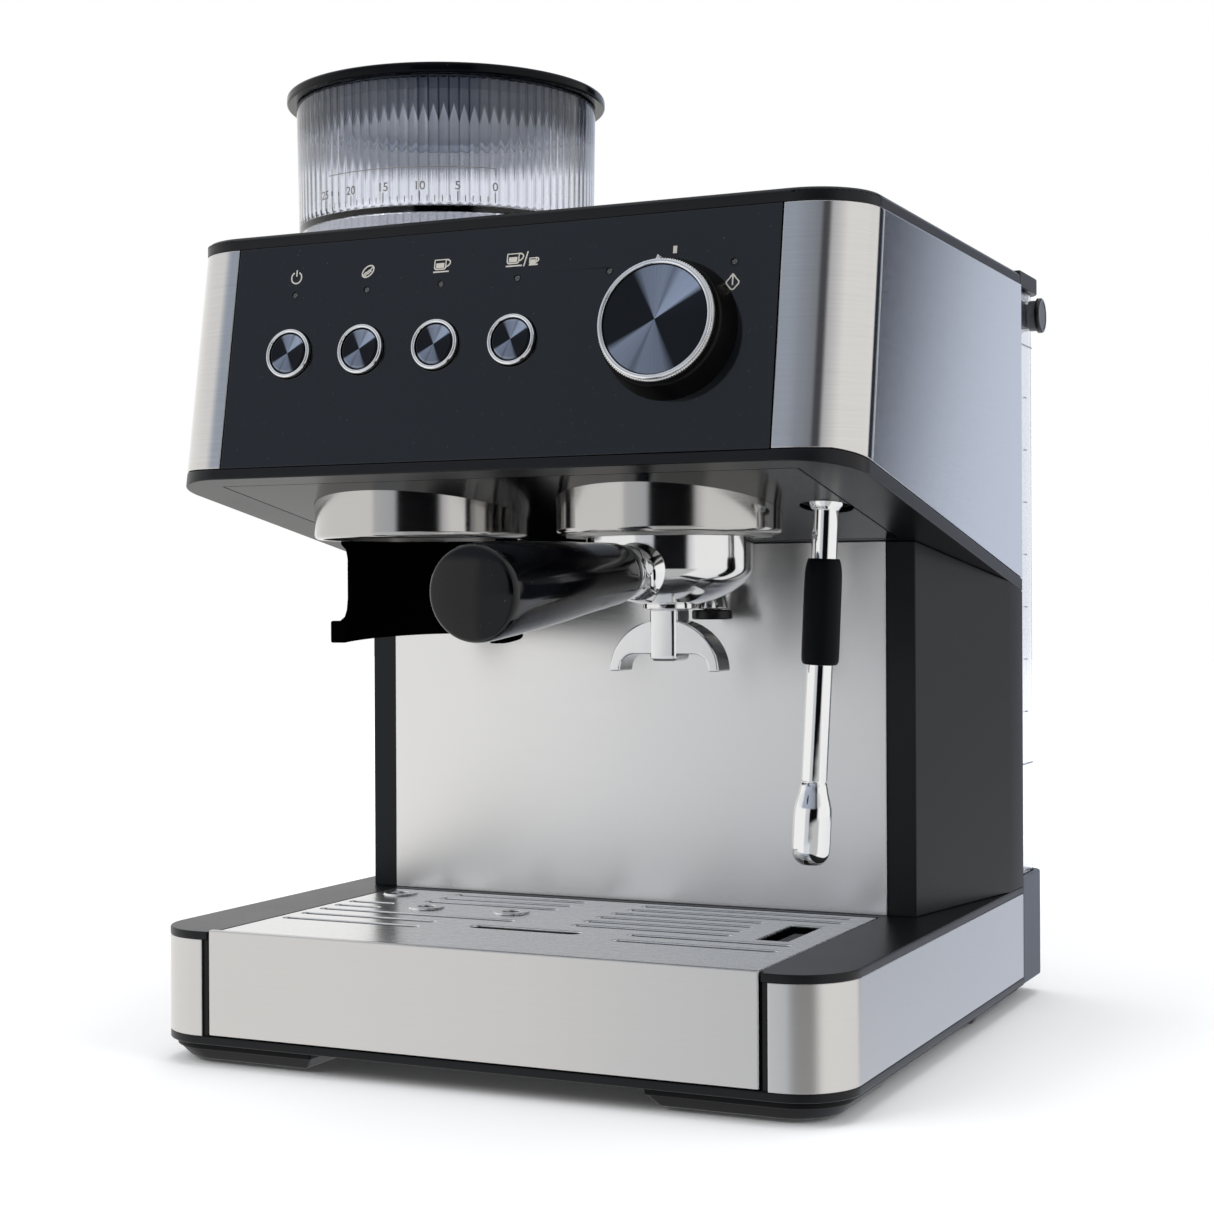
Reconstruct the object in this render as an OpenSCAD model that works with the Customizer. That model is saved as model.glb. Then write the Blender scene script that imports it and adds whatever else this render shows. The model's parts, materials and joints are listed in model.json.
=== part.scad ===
// Home espresso machine with a built-in conical burr grinder.
// X runs to the user's right, Y away from the user, Z up. Millimetres.
// Modules are written from the front face of the base, and from_front() moves
// them so that the origin lies under the middle of the machine.

/* [Base] */
// Width over the side panels
body_w = 310; // [300:1:340]
// Depth of the steel-clad body, from the front of the base to the tank bay
body_d = 276; // [262:1:320]
// Depth of the tank bay behind the body
bay_d = 44; // [38:1:60]
// Height of the base ledge above the counter
ledge_z = 57; // [50:1:70]
// Radius of the base's front corners
base_corner_r = 25; // [15:1:30]
// Thickness of the steel skins
skin = 1.2; // [0.8:0.1:1.6]
// Thickness of the moulded walls
wall = 2.5; // [2:0.1:3]
// Width of the drip tray's front panel
tray_front_w = 246.5; // [230:0.5:250]
// Depth of the drip tray bay
tray_d = 150; // [140:1:154]
// Clearance between pieces that slide in each other
slide_gap = 0.5; // [0.3:0.1:0.8]

/* [Head] */
// Height of the top of the side panels
head_z = 347.4; // [335:0.2:380]
// Height of the bottom edge of the control panel
panel_z = 252; // [244:1:258]
// How far the control panel's bottom edge stands behind the base front
panel_y = 11.4; // [5:0.2:20]
// Backward lean of the control panel
lean = 9.5; // [5:0.5:14]
// Width of the glossy control panel
panel_w = 248.4; // [236:0.2:252]
// Thickness of the control panel
panel_t = 3; // [2:0.5:4]
// Radius of the head's front corners
head_corner_r = 28; // [20:1:30]
// Rise of the head's underside towards the user
under_slope = 10.3; // [8:0.1:12]
// Height of the black rim under the side panels
rim_h = 6; // [5:0.5:8]
// Thickness of the top cover
cover_t = 5.6; // [4:0.2:8]

/* [Column] */
// Half width of the column at the backsplash
column_front_x = 137; // [130:1:142]
// Distance of the column's front wall from the base front
column_y = 157; // [155:1:175]
// Width of the steel backsplash
splash_w = 248; // [220:1:256]

/* [Controls] */
// Diameter of the push buttons' bezels
bezel_d = 21.8; // [18:0.2:24]
// Travel of a push button
button_travel = 1.5; // [1:0.1:2]
// Diameter of the selector knob's face
knob_d = 48; // [40:1:52]
// How far the selector knob stands out of the panel
knob_h = 16.5; // [12:0.5:20]
// Turn of the selector knob to each side
knob_turn = 40; // [20:1:60]

/* [Brewing] */
// Sideways place of the brew group
group_x = 52; // [46:1:56]
// Distance of both outlets from the base front
group_y = 84; // [80:1:90]
// Wall between the group's bayonet ring and its steel collar
collar_wall = 4.2; // [3:0.1:6]
// Height of the collars' lower edge
collar_z = 223; // [220:1:226]
// Thickness of the portafilter's bowl round the basket
bowl_wall = 5; // [3:0.1:6]
// Inner diameter of the filter basket
basket_d = 58; // [54:0.5:60]
// Length of the portafilter's grip
grip_len = 119; // [90:1:130]
// Radius of the grip at its end
grip_r = 17.6; // [14:0.2:19]
// Spacing of the two coffee outlets
outlet_gap = 44.6; // [36:0.2:50]

/* [Steam] */
// Sideways place of the steam wand's ball
wand_x = 120; // [116:1:124]
// Distance of the steam wand's ball from the base front
wand_y = 89; // [84:1:96]
// Diameter of the steam wand's tube
wand_d = 10.7; // [8:0.1:11]
// Length of the steam wand below its ball
wand_len = 151; // [120:1:156]

/* [Grinder] */
// Sideways place of the grinder and the hopper
grind_x = -68; // [-74:1:-62]
// Distance of the hopper's axis from the base front
hopper_y = 109; // [106:1:114]
// Outer radius of the hopper's top edge
hopper_r = 67.8; // [60:0.2:70]
// Height of the hopper over the top cover, without its lid
hopper_h = 65.5; // [50:0.5:90]
// Radius of the hopper's lid
lid_r = 72; // [68:0.5:74]
// Turn of the grind setting to each side
setting_turn = 46.5; // [30:0.5:60]
// Radius of the cone burr's lower edge
cone_r = 19.5; // [16:0.5:21]
// Module of the gear teeth
tooth_m = 1; // [0.9:0.05:1.05]
// Teeth of the output gear
output_teeth = 44; // [40:1:45]
// Teeth of the idler's pinion
idler_pinion_teeth = 14; // [13:1:16]
// Teeth of the idler's wheel
idler_wheel_teeth = 60; // [56:1:62]
// Teeth of the motor's pinion
motor_teeth = 12; // [11:1:14]

/* [Tank] */
// Height of the tank's rim above the counter
tank_top_z = 346.5; // [330:0.5:380]
// Thickness of the tank's walls
tank_wall = 2.5; // [2:0.1:3]

/* [Hidden] */
$fn = 64;
eps = 0.01;
far = 400;
black = "#18191b";
steel = "#b9b8b4";
chrome = "#d5d7d9";
clear = "#aab4bc";

rear_y = body_d + bay_d;
grip_slope = 4;
grip_root_y = group_y - 57;
grip_end_y = grip_root_y - grip_len * cos(grip_slope);
middle_y = (grip_end_y + rear_y) / 2;

// Base: levels of the steel wraps and of the tray bay
foot_z = 1.6;
pan_z = 6.5;
base_z = 9.5;
wrap_z0 = 13;
wrap_z1 = ledge_z - 3.4;
wrap_x = tray_front_w / 2 + 3.5;
tray_bay_x = tray_front_w / 2 - 1.25;
tray_bay_z = 16;
front_t = 3;
foot_x = body_w / 2 - 43;
foot_y = 42;

// Tray, and its grid of slots in rows counted from the back
tray_x = tray_bay_x - slide_gap;
tray_y1 = tray_d - 1;
tray_z0 = tray_bay_z + 0.3;
grid_z = ledge_z - 1.5;
row_pitch = (tray_d - 25) / 10;
function row_y(row) = tray_d - 9 - row * row_pitch;
finger_y = row_y(6.56);
float_x = tray_x - 20;
float_y = row_y(3.72);
float_window = 1.76 * row_pitch;
// Slots as [left end, right end, row], the ends as shares of the grid's half width
left_slots = [
    [-0.68, -0.12, 0], [-0.69, -0.13, 1], [-0.7, -0.14, 2], [-0.97, -0.78, 3], [-0.97, -0.78, 4],
    [-0.97, -0.16, 5], [-0.97, -0.41, 6.2], [-0.97, -0.41, 7.4]
];
right_slots = [
    [0.11, 0.93, 0], [0.1, 0.93, 1], [0.08, 0.67, 2], [0.07, 0.67, 3], [0.07, 0.67, 4], [0.07, 0.67, 5],
    [0.34, 0.93, 6.2], [0.34, 0.93, 7.4]
];
dimples = [[-0.89, 0.64], [-0.61, 3.44], [-0.26, 3.32]];

// Head: heights of the sloped underside and of the steel edge over it
rise = tan(under_slope);
function under_z(y) = panel_z - rim_h + 1.5 - rise * (y - panel_y);
function steel_z(y) = min(panel_z, under_z(y) + rim_h);
function lean_y(z) = panel_y + (z - panel_z) * tan(lean);
panel_len = (head_z - panel_z) / cos(lean);
top_z = head_z + cover_t;
floor_t = rim_h;
insert_t = 2;
warmer_x0 = 22;
warmer_x1 = body_w / 2 - 18;

// Controls, measured along the panel from its lower edge
button_x = [-94.2, -58.9, -23.6, 11.7];
button_s = 48.7;
led_s = 74.6;
led_x = concat(button_x, [52.7, 105.7]);
knob_x = 80.5;
knob_skirt_r = 28;
knob_axle_r = 4;
knurls = 80;

// Brewing
ear_gap_turn = -45;
bowl_bore_r = basket_d / 2 + 1.2;
bowl_r = bowl_bore_r + bowl_wall;
ear_r = bowl_r + 4.8;
ear_z = 224.7;
ring_r = ear_r + 3.3;
collar_r = ring_r + collar_wall;
neck_z = 192;
spout_z0 = 165.8;
rim_z = 231;
gasket_t = 6;
basket_rim_t = 0.5;
group_top_z = 262;
boiler_h = 44;

// Hot water spout
hot_x = group_x - 2.5;
hot_y = group_y + collar_r + 6.5;
hot_z = 187;

// Pump and heating block
pump_x = 60;
pump_y = column_y + 56;
pump_z = ledge_z + wall;
boiler_top_z = group_top_z + boiler_h;
hose_r = 3.5;
hose_z = 34;
passage_x = -50;

// Steam wand
ball_r = 8;
swivel_r = 10.5;
grip_top = -22;
ball_z = under_z(wand_y) + 4.6;
wand_lean = 1.9;

// Grinder
outlet_y = group_y + 1;
chute_y = hopper_y - 41;
cradle_r = bowl_r + 1.4;
cradle_z0 = 177;
cradle_t = 10;
gap = 0.3;
carrier_r = 31;
chamber_r = 35;
chamber_z0 = 284;
gear_z = 268;
wheel_z = 256;
gear_t = 10;
wheel_t = 8;
gearbox_z0 = 250;
shaft_r = 5;
running = 0.05;
idler_y = hopper_y + tooth_m * (output_teeth + idler_pinion_teeth) / 2;
motor_y = idler_y + tooth_m * (idler_wheel_teeth + motor_teeth) / 2;
motor_r = 27;
burr_z0 = 304;
burr_z1 = 330;
hopper_z0 = top_z;
hopper_z1 = top_z + hopper_h;
flutes = 72;

// Tank
bay_corner_r = 12;
tank_corner_r = bay_corner_r - 3.5;
tank_z0 = 58;
tank_x = body_w / 2 - 3.5;
tank_y0 = body_d + 2;
tank_y1 = rear_y - 3.5;
bay_top_z = 61;
pivot_y = rear_y - 13;
pivot_z = tank_top_z - 10.5;
valve_x = 60;
valve_y = (tank_y0 + tank_y1) / 2;

// ---------------------------------------------------------------- shapes

module from_front() translate([0, -middle_y, 0]) children();

module at_group() translate([group_x, group_y, 0]) children();

module at_burr() translate([grind_x, hopper_y, 0]) children();

// Draws its children on both sides of the machine
module both_sides() {
    children();
    mirror([1, 0, 0]) children();
}

// Local x right, y up the control panel, z out of its face
module on_panel(x = 0, s = 0)
    translate([0, panel_y, panel_z]) rotate([90 - lean, 0, 0]) translate([x, s, 0]) children();

// Plan outline from y0 to y1, with front and rear corners of two radii
module plan(w, y0, y1, front_r, back_r) {
    translate([-w / 2, y0 + front_r]) square([w, y1 - y0 - front_r - back_r]);
    translate([-w / 2 + front_r, y0]) square([w - 2 * front_r, y1 - y0 - back_r]);
    translate([-w / 2 + back_r, y0 + front_r]) square([w - 2 * back_r, y1 - y0 - front_r]);
    for (side = [-1, 1]) {
        translate([side * (w / 2 - front_r), y0 + front_r]) circle(front_r);
        translate([side * (w / 2 - back_r), y1 - back_r]) circle(back_r);
    }
}

module slab(w, y0, y1, z0, z1, front_r, back_r)
    translate([0, 0, z0]) linear_extrude(z1 - z0) plan(w, y0, y1, front_r, back_r);

module box(x0, x1, y0, y1, z0, z1)
    translate([x0, y0, z0]) cube([x1 - x0, y1 - y0, z1 - z0]);

module ring(r_out, r_in, z0, z1)
    translate([0, 0, z0]) linear_extrude(z1 - z0) difference() {
        circle(r_out);
        circle(r_in);
    }

module rod(r, z0, z1) translate([0, 0, z0]) cylinder(r = r, h = z1 - z0);

// A slot with round ends, through a sheet between z0 and z1
module slot(x0, x1, y, w, z0, z1) {
    box(x0 + w / 2, x1 - w / 2, y - w / 2, y + w / 2, z0, z1);
    for (x = [x0 + w / 2, x1 - w / 2]) translate([x, y, 0]) rod(w / 2, z0, z1);
}

// A tube of straight runs with round elbows
module pipe(points, r) {
    for (p = points) translate(p) sphere(r * 1.04);
    for (i = [1 : len(points) - 1]) {
        run = points[i] - points[i - 1];
        length = norm(run);
        translate(points[i - 1])
            rotate([0, acos(run.z / length), atan2(run.y, run.x)])
                cylinder(r = r, h = length);
    }
}

// A side outline in Y and Z, extruded across the machine
module across(w, outline)
    rotate([90, 0, 90]) translate([0, 0, -w / 2]) linear_extrude(w) polygon(outline);

// Everything under the line from (y0, z0) to (y1, z1)
module below(y0, z0, y1, z1)
    across(far + body_w, [[y0, z0], [y1, z1], [y1, -far], [y0, -far]]);

// The leaning front of the head, set back by inset all round
module leaning_front(inset)
    translate([0, panel_y, panel_z])
        rotate([-lean, 0, 0])
            translate([0, 0, -60])
                linear_extrude(far) plan(body_w - 2 * inset, inset, far, head_corner_r - inset, 5);

// The head's solid outline between its underside and its top, set back by inset
module head_solid(inset, z_top) {
    y0 = panel_y - 40;
    y1 = body_d - inset;
    intersection() {
        leaning_front(inset);
        across(body_w + 20, [[y0, under_z(y0) + inset], [y1, under_z(y1) + inset], [y1, z_top], [y0, z_top]]);
    }
}

// Everything over the steel's lower edge, raised by up
module over_steel_edge(up = 0)
    across(far + body_w, [
        [-far, panel_z + up], [panel_y + 8, panel_z + up], [rear_y, steel_z(rear_y) + up],
        [rear_y, 2 * far], [-far, 2 * far]
    ]);

// ---------------------------------------------------------------- base

module base_outline(z0, z1, inset)
    slab(body_w - 2 * inset, inset, body_d, z0, z1, base_corner_r - inset, 1);

module base_housing() color(black) from_front() difference() {
    union() {
        difference() {
            union() {
                base_outline(base_z, wrap_z0, 0);
                base_outline(wrap_z0, wrap_z1, skin);
                base_outline(wrap_z1, ledge_z, 0);
            }
            base_outline(base_z - 1, ledge_z - wall, skin + wall);
        }
        // Walls and floor of the tray bay
        difference() {
            box(-tray_bay_x - wall, tray_bay_x + wall, skin, tray_d + wall, wrap_z0, ledge_z);
            box(-tray_bay_x, tray_bay_x, -1, tray_d, tray_bay_z, far);
        }
        // Screw posts that meet the pan
        both_sides() for (y = [60, body_d - 30])
            translate([body_w / 2 - 14, y, 0]) rod(5, base_z, ledge_z - wall + eps);
    }
    // The tray bay is open to the front and to the top
    box(-tray_bay_x, tray_bay_x, -1, tray_d, tray_bay_z, far);
    box(-tray_front_w / 2 - 0.75, tray_front_w / 2 + 0.75, -1, front_t + gap, wrap_z0, far);
    // Passage for hoses and wires up into the column, and the tank hose's way in
    hose_passage(ledge_z - wall - 1, ledge_z + 1);
    translate([valve_x, 0, hose_z]) rotate([-90, 0, 0]) rod(hose_r + 1, body_d - 10, body_d + 1);
}

module hose_passage(z0, z1) box(-100, 0, column_y + 20, body_d - 20, z0, z1);

module base_wraps() color(steel) from_front() both_sides() intersection() {
    difference() {
        base_outline(wrap_z0, wrap_z1, 0);
        base_outline(wrap_z0 - 1, wrap_z1 + 1, skin);
    }
    box(wrap_x, body_w, -1, body_d, 0, far);
}

// Bottom plate with four tapered foot blocks
module base_pan() color(black) from_front() difference() {
    union() {
        base_outline(pan_z, base_z, 3);
        both_sides() for (end = [0, 1])
            translate([foot_x, end ? body_d - foot_y : foot_y, 0])
                hull() {
                    translate([0, 0, pan_z + eps]) linear_extrude(eps) square([78, 66], center = true);
                    translate([0, 0, foot_z]) linear_extrude(eps) square([66, 54], center = true);
                }
    }
    both_sides() for (y = [foot_y, body_d - foot_y])
        translate([foot_x, y, 0]) rod(14, foot_z - 1, foot_z + 1.5);
    // Air slots under the column
    for (x = [-60 : 12 : 60]) slot(x - 3, x + 3, body_d / 2 + 40, 3, 0, far);
}

module rubber_feet() color("#2b2b2b") from_front() both_sides()
    for (y = [foot_y, body_d - foot_y])
        translate([foot_x, y, 0]) rod(13.7, 0, foot_z + 1.5);

// Tank bay behind the body, with a rim that locates the tank
module rear_base() color("#4a4b4d") from_front() difference() {
    slab(body_w, body_d, rear_y, base_z, bay_top_z, 1, bay_corner_r);
    slab(body_w - 6, body_d + 1, rear_y - 3, tank_z0 - 0.5, far, 1, bay_corner_r - 3);
    slab(body_w - 2 * wall, body_d + wall, rear_y - wall, 0, tank_z0 - 0.5 - wall, 1, bay_corner_r - wall);
    translate([valve_x, valve_y, 0]) rod(11, 0, far);
    translate([-100, 0, hose_z]) rotate([-90, 0, 0]) rod(9, rear_y - 30, rear_y + 1);
    translate([valve_x, 0, hose_z]) rotate([-90, 0, 0]) rod(hose_r + 1, body_d - 1, body_d + 10);
}

// ---------------------------------------------------------------- column

function column_outline(inset) = [
    [-column_front_x + inset, column_y + inset], [column_front_x - inset, column_y + inset],
    [body_w / 2 - inset, body_d - 25 + inset / 2], [body_w / 2 - inset, body_d - inset],
    [-body_w / 2 + inset, body_d - inset], [-body_w / 2 + inset, body_d - 25 + inset / 2]
];

module column_shell() color(black) from_front() intersection() {
    translate([0, 0, ledge_z]) difference() {
        linear_extrude(far / 2) polygon(column_outline(0));
        translate([0, 0, wall]) linear_extrude(far) polygon(column_outline(wall));
        hose_passage(-1, far);
    }
    below(0, under_z(0), rear_y, under_z(rear_y));
}

module backsplash() color(steel) from_front()
    box(-splash_w / 2, splash_w / 2, column_y - skin, column_y, ledge_z, under_z(column_y));

// ---------------------------------------------------------------- head

module floor_openings() {
    at_group() rod(collar_r, 0, head_z - 20);
    translate([grind_x, outlet_y, 0]) rod(collar_r, 0, head_z - 20);
    translate([wand_x, wand_y, 0]) rod(swivel_r + 0.6, 0, head_z - 20);
    translate([hot_x, hot_y, 0]) rod(4.5, 0, head_z - 20);
}

// Floor and inner walls of the head. The floor's edge is the black rim
module head_frame() color(black) from_front() difference() {
    union() {
        difference() {
            head_solid(0, head_z);
            over_steel_edge();
        }
        difference() {
            head_solid(skin, head_z);
            head_solid(skin + wall, head_z + 1);
            on_panel() translate([-panel_w / 2, -20, -panel_t]) cube([panel_w, far, 20]);
        }
        // Front wall behind the control panel
        intersection() {
            head_solid(skin, head_z);
            on_panel() translate([-panel_w / 2 - 2, 0, -panel_t - wall]) cube([panel_w + 4, panel_len + 10, wall]);
            over_steel_edge();
        }
    }
    floor_openings();
    // Recess for the underside insert
    underside_insert(0.2);
    // Opening down into the column
    box(-column_front_x + 20, column_front_x - 20, column_y + wall + 8, body_d - 20, 0, head_z - 60);
    // Openings of the front wall for the controls
    for (x = button_x) on_panel(x, button_s) rod(7, -20, 1);
    on_panel(knob_x, button_s) rod(knob_axle_r + 3, -20, 1);
}

// Glossy insert of the head's underside, grown by extra
module underside_insert(extra) {
    y0 = panel_y + 12;
    y1 = column_y - 6;
    intersection() {
        box(-body_w / 2 + 24 - extra, body_w / 2 - 24 + extra, y0 - extra, y1 + extra, 100, head_z);
        across(far, [
            [0, under_z(0) - extra], [rear_y, under_z(rear_y) - extra],
            [rear_y, under_z(rear_y) + insert_t], [0, under_z(0) + insert_t]
        ]);
    }
}

module underside_panel() color("#0d0e10") from_front() difference() {
    underside_insert(0);
    floor_openings();
}

module control_panel() color("#0a0c11") from_front() difference() {
    intersection() {
        on_panel() translate([-panel_w / 2, -20, -panel_t]) cube([panel_w, panel_len + 60, panel_t]);
        over_steel_edge(0.2);
        box(-far, far, -far, far, 0, head_z);
    }
    for (x = button_x) on_panel(x, button_s) rod(bezel_d / 2, -20, 1);
    for (x = led_x) on_panel(x, led_s) rod(1.3, -20, 1);
    on_panel(knob_x, button_s) rod(knob_axle_r + 3, -20, 1);
}

// Steel corner pieces from the control panel round to the side panels
module corner_trims() color(steel) from_front() both_sides() intersection() {
    difference() {
        leaning_front(0);
        leaning_front(skin);
    }
    translate([0, panel_y, panel_z]) rotate([-lean, 0, 0])
        box(panel_w / 2 + 0.6, body_w, -20, head_corner_r + 2, -60, far);
    over_steel_edge(0.3);
    box(-far, far, -far, far, 0, head_z);
}

module side_panels() color(steel) from_front() both_sides() intersection() {
    box(body_w / 2 - skin, body_w / 2, 0, body_d, 100, head_z);
    over_steel_edge(0.3);
    translate([0, panel_y, panel_z]) rotate([-lean, 0, 0])
        box(-far, far, head_corner_r + 2.6, far, -far, far);
}

module top_cover() color(black) from_front() difference() {
    union() {
        slab(body_w, lean_y(head_z), body_d, head_z, top_z - 1.5, head_corner_r, 3);
        hull() {
            slab(body_w, lean_y(head_z), body_d, top_z - 1.5, top_z - 1.49, head_corner_r, 3);
            slab(body_w - 3, lean_y(head_z) + 1.5, body_d - 1.5, top_z - eps, top_z, head_corner_r - 1.5, 3);
        }
    }
    slab(body_w - 10, lean_y(head_z) + 5, body_d - 5, head_z - 1, top_z - wall, head_corner_r - 5, 3);
    at_burr() rod(carrier_r + 2 + gap, 0, far);
    box(warmer_x0 - gap, warmer_x1 + gap, 60, body_d - 18, top_z - 1.2, far);
}

// Steel plate that warms cups, with vent slots
module warmer_plate() color(steel) from_front() difference() {
    union() {
        box(warmer_x0, warmer_x1, 60 + gap, body_d - 18 - gap, top_z - 1.2, top_z);
        for (y = [72 : 24 : body_d - 28]) slot(warmer_x0 + 6, warmer_x1 - 6, y, 3, top_z - eps, top_z + 1);
    }
    for (y = [84 : 24 : body_d - 40]) slot(warmer_x0 + 20, warmer_x1 - 20, y, 4, 0, far);
}

// ---------------------------------------------------------------- group and grinder outlets

// Steel collar with a rounded lower edge
module collar() rotate_extrude() difference() {
    union() {
        translate([collar_r - 2, collar_z + 2]) square([2, 22]);
        translate([collar_r - 2, collar_z + 2]) circle(2);
        translate([collar_r - 4, collar_z]) square([2, 2]);
    }
    translate([-1, 0]) square([1, far]);
}

module grinder_collar() color(steel) from_front() translate([grind_x, outlet_y, 0]) collar();

module group_collar() color(steel) from_front() at_group() collar();

// Bayonet ring with a lip that holds the portafilter's ears
module group_head() color("#8e8f91") from_front() at_group() difference() {
    union() {
        ring(ring_r, ear_r + gap, collar_z - 1, rim_z + gasket_t);
        ring(ring_r, bowl_r + 1, collar_z - 1, ear_z - 0.4);
        rod(ring_r, rim_z + gasket_t, group_top_z);
    }
    // Entry gaps for the ears
    rotate([0, 0, ear_gap_turn])
        box(-ear_r - gap, ear_r + gap, -10, 10, collar_z - 2, ear_z);
}

module brew_gasket() color("#7a2f26") from_front() at_group()
    ring(bowl_r, basket_d / 2 + 0.5, rim_z + basket_rim_t + 0.1, rim_z + gasket_t);

module shower_screen() color(steel) from_front() at_group() difference() {
    rod(basket_d / 2 - 1, rim_z - 2, rim_z + gasket_t);
    for (r = [8 : 6 : 20]) for (a = [0 : 360 / r : 359]) rotate([0, 0, a]) translate([r, 0, 0]) rod(0.9, rim_z - 3, rim_z);
}

// Cradle that holds the portafilter under the grinder: a half shell over a forked plate
module grinder_cradle() color(black) from_front() translate([grind_x, outlet_y, 0]) {
    difference() {
        union() {
            translate([0, 0, cradle_z0 + cradle_t - eps]) linear_extrude(collar_z - cradle_z0 - cradle_t + eps)
                circle(cradle_r + wall);
            translate([0, 0, collar_z - 4]) cylinder(r1 = cradle_r + wall, r2 = cradle_r + wall + 2, h = 4);
            translate([0, 0, cradle_z0]) rod(cradle_r + 8, 0, cradle_t);
            box(-cradle_r - 8, cradle_r + 8, -6, 0, cradle_z0, cradle_z0 + cradle_t);
            // Bracket back to the backsplash
            box(-20, 20, cradle_r, column_y - skin - outlet_y, cradle_z0, cradle_z0 + cradle_t);
        }
        rod(cradle_r, 0, far);
        box(-cradle_r, cradle_r, -far, 0, 0, far);
        box(-far, far, -far, -6, 0, far);
        box(-far, far, -far, 0, cradle_z0 + cradle_t, far);
    }
}

module status_leds() color("#dfe6ea") from_front()
    for (x = led_x) on_panel(x, led_s) rod(1.3, -panel_t, -0.3);

// ---------------------------------------------------------------- grinder

module grind_chamber() color("#9ea1a4") from_front() difference() {
    union() {
        at_burr() rod(chamber_r, chamber_z0, burr_z1 + 12);
        // Discharge neck and chute down to the collar
        translate([grind_x, 0, 0]) box(-10, 10, chute_y, hopper_y - 20, chamber_z0, burr_z0);
        translate([grind_x, chute_y, 0]) rod(12.5, collar_z + 4.2, burr_z0);
        translate([grind_x, outlet_y, 0]) ring(collar_r - 2, collar_r - 5, collar_z + 4.2, collar_z + 15);
        translate([grind_x, outlet_y, 0]) rod(collar_r - 2, collar_z + 4.2, collar_z + 7);
    }
    at_burr() rod(carrier_r - 2, chamber_z0 + 8, far);
    at_burr() rod(carrier_r + gap, burr_z0 + 3, far);
    at_burr() rod(11, chamber_z0 - 1, chamber_z0 + 9);
    translate([grind_x, 0, 0]) box(-8, 8, chute_y, hopper_y, chamber_z0 + 8, burr_z0 - 2);
    translate([grind_x, chute_y, 0]) rod(10.5, 0, burr_z0 - 2);
}

// Outline of the gearbox, set back by inset
module gearbox_outline(inset) {
    translate([grind_x, hopper_y]) circle(tooth_m * (output_teeth / 2 + 2) + 3 - inset);
    translate([grind_x, idler_y]) circle(tooth_m * (idler_wheel_teeth / 2 + 2) + 3 - inset);
    translate([grind_x, motor_y]) circle(14 - inset);
    translate([grind_x - 14 + inset, idler_y]) square([28 - 2 * inset, motor_y - idler_y]);
}

module grinder_gearbox() color("#3a3c3f") from_front() difference() {
    translate([0, 0, gearbox_z0]) linear_extrude(chamber_z0 - gearbox_z0) gearbox_outline(0);
    translate([0, 0, gearbox_z0 + 2]) linear_extrude(chamber_z0 - gearbox_z0 - 4) gearbox_outline(2);
    // Shaft holes
    at_burr() rod(shaft_r + 1, gearbox_z0 + 5, far);
    translate([grind_x, idler_y, 0]) rod(3 + running, gearbox_z0 + 1, chamber_z0 - 0.5);
    translate([grind_x, motor_y, 0]) rod(3.5, gearbox_z0 + 10, far);
}

module burr_bearings() color(chrome) from_front() at_burr()
    ring(11, shaft_r + running, chamber_z0, chamber_z0 + 8);

module grinder_motor() color("#6d7075") from_front() translate([grind_x, motor_y, 0]) difference() {
    union() {
        rod(motor_r, chamber_z0, chamber_z0 + 52);
        rod(9, chamber_z0 + 52, chamber_z0 + 56);
    }
    rod(2 + running, chamber_z0 - 1, chamber_z0 + 40);
}

function degrees(radians) = radians * 180 / PI;
function involute(angle) = degrees(tan(angle)) - angle;

// Points of one tooth of an involute gear, from root to root
function tooth(teeth, at, tip_share) =
    let (
        pitch_r = tooth_m * teeth / 2,
        base_r = pitch_r * cos(20),
        root_r = pitch_r - 1.25 * tooth_m,
        tip_r = pitch_r + tip_share * tooth_m,
        play = degrees(0.1 / pitch_r),
        half = 90 / teeth - play + involute(20),
        start_r = max(base_r + 0.001, root_r),
        radii = [start_r, (start_r + tip_r) / 2, tip_r],
        halves = [for (r = radii) half - involute(acos(base_r / r))]
    )
    [
        root_r * [cos(at - halves[0]), sin(at - halves[0])],
        for (i = [0 : 2]) radii[i] * [cos(at - halves[i]), sin(at - halves[i])],
        for (i = [2 : -1 : 0]) radii[i] * [cos(at + halves[i]), sin(at + halves[i])],
        root_r * [cos(at + halves[0]), sin(at + halves[0])]
    ];

module gear(teeth, first_at, z0, z1, tip_share)
    translate([0, 0, z0]) linear_extrude(z1 - z0)
        polygon([for (i = [0 : teeth - 1]) each tooth(teeth, first_at + i * 360 / teeth, tip_share)]);

// Shaft of the cone burr with the output gear and the sweeper that throws out the grounds
module drive_gear() color("#c9b27a") from_front() at_burr() {
    difference() {
        gear(output_teeth, 90, gear_z, gear_z + gear_t, 0.8);
        rod(shaft_r - eps, 0, far);
    }
    rod(shaft_r, gear_z, burr_z0 + 4);
    rod(3, burr_z0 + 4, burr_z1 + 4);
    rod(carrier_r - 5, chamber_z0 + 9, chamber_z0 + 10.5);
    for (a = [0 : 60 : 300]) rotate([0, 0, a])
        box(12, carrier_r - 4, -1, 1, chamber_z0 + 9, chamber_z0 + 16);
}

module idler_gear() color("#d8d5c8") from_front() translate([grind_x, idler_y, 0]) {
    gear(idler_pinion_teeth, -90 + 180 / idler_pinion_teeth, wheel_z + wheel_t - eps, gear_z + gear_t + 1, 1);
    gear(idler_wheel_teeth, 90, wheel_z, wheel_z + wheel_t, 0.8);
    rod(3, gearbox_z0 + 1.2, chamber_z0 - 0.7);
}

module motor_pinion() color(chrome) from_front() translate([grind_x, motor_y, 0]) {
    gear(motor_teeth, -90 + 180 / motor_teeth, wheel_z - 1, wheel_z + wheel_t + 2, 1);
    rod(2, wheel_z - 1, chamber_z0 + 38);
}

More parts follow.
